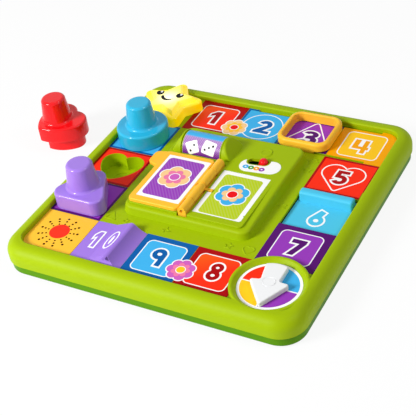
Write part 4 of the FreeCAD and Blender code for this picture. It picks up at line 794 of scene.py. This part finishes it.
def flower(name, spec):
    size, count, turn = spec["size"], spec["count"], spec["turn"]
    outer, inner, middleInk = spec["inks"]
    petals = petalPoints(size, flowerLook["notch"], count, turn)
    blades = petalPoints(size * flowerLook["blade"], flowerLook["bladeNotch"], count, turn + math.pi / count)
    rim = size * flowerLook["rim"]
    core = size * flowerLook["middle"]
    layers = [
        ("Edge", grown(petals, flowerLook["edge"]), "paper"),
        ("Petals", petals, outer),
        ("Blades", blades, inner),
        ("Rim", ovalPoints(0, 0, rim, rim), "paper"),
        ("Middle", ovalPoints(0, 0, core, core), middleInk),
    ]
    low = topOf(spec["on"]) + spec["lift"]
    for step, (part, points, ink) in enumerate(layers):
        flatPrint(name + part, [turned(points, spec["at"])], low + flowerLook["step"] * step, inkLook(ink),
                  spec["body"])


for name, spec in flowers.items():
    flower(name, spec)
print("prints made")

# Raised outlines moulded in the deck

reliefLook = {"radius": 0.0008, "sink": 0.0003, "deck": 0.0230}


def raisedLine(name, points, z, body="base", look=None, radius=None):
    curve = bpy.data.curves.new(name, "CURVE")
    curve.dimensions = "3D"
    curve.bevel_depth = radius or reliefLook["radius"]
    curve.bevel_resolution = 2
    spline = curve.splines.new("POLY")
    spline.points.add(len(points) - 1)
    for corner, (px, py) in zip(spline.points, points):
        corner.co = (px, py, z - reliefLook["sink"], 1)
    spline.use_cyclic_u = True
    return finish(name, meshOf(curve), look or nodes["top_housing"].data.materials[0], body)


triangleShape = [(-0.0052, -0.0045), (0.0052, -0.0045), (0.0, 0.0052)]
fiveStar = starPoints(0.0042, 0.0019, 90)
sparkle = starPoints(0.0046, 0.0016, 90, 4)
reliefs = {
    "triangleRelief": turned(triangleShape, (-0.0708, -0.0668), 0.1),
    "starReliefLeft": turned(fiveStar, (-0.0545, -0.0700), 0.2, 0.8),
    "sparkleRelief": turned(sparkle, (-0.0130, -0.0690)),
    "starReliefFront": turned(fiveStar, (0.0500, -0.0690)),
    "heartRelief": turned(heartPoints(0.0105, 0.0100), (0.0685, -0.0690)),
    "starReliefRight": turned(fiveStar, (0.0715, -0.0040), 0.3),
    "starReliefBack": turned(fiveStar, (0.0715, 0.0520), 0.1),
    "flowerRelief": turned(starPoints(0.0050, 0.0034, 0, 6), (0.0714, 0.0665)),
}
for name, points in reliefs.items():
    raisedLine(name, points, reliefLook["deck"])

# A ring by the switch, a painted highlight on the star (a thin pale glowing line inside its top edge) and a ring
# on the arrow's hub

ringLook = {"switch": 0.0050, "fromKnob": (-0.0040, 0.0151), "hub": 0.0052, "hubLine": 0.00045}
starHighlightLook = {"tip": 0.0242, "valley": 0.0133, "lift": 0.0001, "line": 0.0005, "glow": (0.55, 0.48, 0.15, 1.0)}
knobAt = middle("switch_knob")[0]
ringX = knobAt.x + ringLook["fromKnob"][0]
ringY = knobAt.y + ringLook["fromKnob"][1]
raisedLine("roundRelief", ovalPoints(ringX, ringY, ringLook["switch"], ringLook["switch"]), topOf("switch_label"))
# painted highlight: a pale yellow glowing line along the star's top edge
starEdge = turned(starPoints(starHighlightLook["tip"], starHighlightLook["valley"], 90), starLook["centre"])
starLine = plastic("starLine", "highlightYellow", starLook["rough"], glow=starHighlightLook["glow"])
raisedLine("starEdge", starEdge, starTop + starHighlightLook["lift"], "star", starLine, starHighlightLook["line"])
hubMark = ovalPoints(*dialLook["centre"], ringLook["hub"], ringLook["hub"])
raisedLine("arrowHubMark", hubMark, topOf("spinner_arrow"), "arrow", nodes["spinner_arrow"].data.materials[0],
           ringLook["hubLine"])
print("reliefs made")

# Floor, light and camera

stageLook = {"floor": 6.0, "floorDrop": 0.0002, "floorTone": 0.96, "floorShow": 0.89, "world": 0.27,
             "aim": (0, 0, 0.02)}
lampLook = {
    "keyLight": {"at": (-0.85, -1.15, 0.90), "size": 0.5, "power": 29.5},
    "rimLight": {"at": (1.05, 0.1, 1.35), "size": 0.45, "power": 6.5},
    "topLight": {"at": (-0.25, 0.45, 1.4), "size": 0.5, "power": 0.6},
}


def seenDirectly(wire):  # 1 for camera, glossy and transmission rays
    camera, glossy, transmission = [wire.add("ShaderNodeLightPath", out=i) for i in (0, 3, 6)]
    return camera.above(glossy).above(transmission)


floorMesh = bmesh.new()
bmesh.ops.create_grid(floorMesh, x_segments=1, y_segments=1, size=stageLook["floor"])
bmesh.ops.translate(floorMesh, verts=floorMesh.verts, vec=(0, 0, -stageLook["floorDrop"]))
floorData = bpy.data.meshes.new("floor")
floorMesh.to_mesh(floorData)
floorMesh.free()
floor = bpy.data.objects.new("floor", floorData)
bpy.context.scene.collection.objects.link(floor)
floorLook = bpy.data.materials.new("paleFloor")
floorLook.use_nodes = True
floorWire = Wire(floorLook.node_tree)
white = floorWire.add("ShaderNodeEmission", {}, {"Color": (1, 1, 1, 1), "Strength": 1.0})
matt = floorWire.add("ShaderNodeBsdfDiffuse", {}, {"Color": (*[stageLook["floorTone"]] * 3, 1)})
show = seenDirectly(floorWire) * stageLook["floorShow"]
mixed = floorWire.add("ShaderNodeMixShader", {}, {0: show, 1: matt, 2: white})
out = floorLook.node_tree.nodes["Material Output"]
floorLook.node_tree.links.new(mixed.socket, out.inputs["Surface"])
floorLook.node_tree.nodes.remove(floorLook.node_tree.nodes["Principled BSDF"])
floorData.materials.append(floorLook)

world = bpy.data.worlds.new("studio")
bpy.context.scene.world = world
world.use_nodes = True
back = world.node_tree.nodes["Background"]
strength = seenDirectly(Wire(world.node_tree)) * (1.0 - stageLook["world"]) + stageLook["world"]
back.inputs["Color"].default_value = (1, 1, 1, 1)
world.node_tree.links.new(strength.socket, back.inputs["Strength"])

for name, spec in lampLook.items():
    lamp = bpy.data.lights.new(name, "AREA")
    lamp.energy = spec["power"]
    lamp.size = spec["size"]
    thing = bpy.data.objects.new(name, lamp)
    bpy.context.scene.collection.objects.link(thing)
    thing.location = spec["at"]
    thing.rotation_euler = (Vector(stageLook["aim"]) - Vector(spec["at"])).to_track_quat("-Z", "Y").to_euler()

cameraLook = {"target": (0.0084, -0.0282, 0.0230), "away": 0.9557, "azimuth": 33.171, "elevation": 38.070,
              "roll": -8.881, "lens": 91.34, "sensor": 36.0, "far": 20.0}
camera = bpy.data.objects.new("camera", bpy.data.cameras.new("camera"))
bpy.context.scene.collection.objects.link(camera)
bpy.context.scene.camera = camera
camera.data.lens = cameraLook["lens"]
camera.data.sensor_width = cameraLook["sensor"]
camera.data.clip_end = cameraLook["far"]
az = math.radians(cameraLook["azimuth"])
el = math.radians(cameraLook["elevation"])
roll = math.radians(cameraLook["roll"])
backward = Vector((math.sin(az) * math.cos(el), -math.cos(az) * math.cos(el), math.sin(el)))
right = Vector((math.cos(az), math.sin(az), 0))
up = backward.cross(right)
rightTurned = right * math.cos(roll) + up * math.sin(roll)
upTurned = up * math.cos(roll) - right * math.sin(roll)
turn = Matrix((rightTurned, upTurned, backward)).transposed().to_4x4()
camera.matrix_world = Matrix.Translation(Vector(cameraLook["target"]) + backward * cameraLook["away"]) @ turn

bpy.context.scene.view_settings.view_transform = "Standard"
print("stage set")
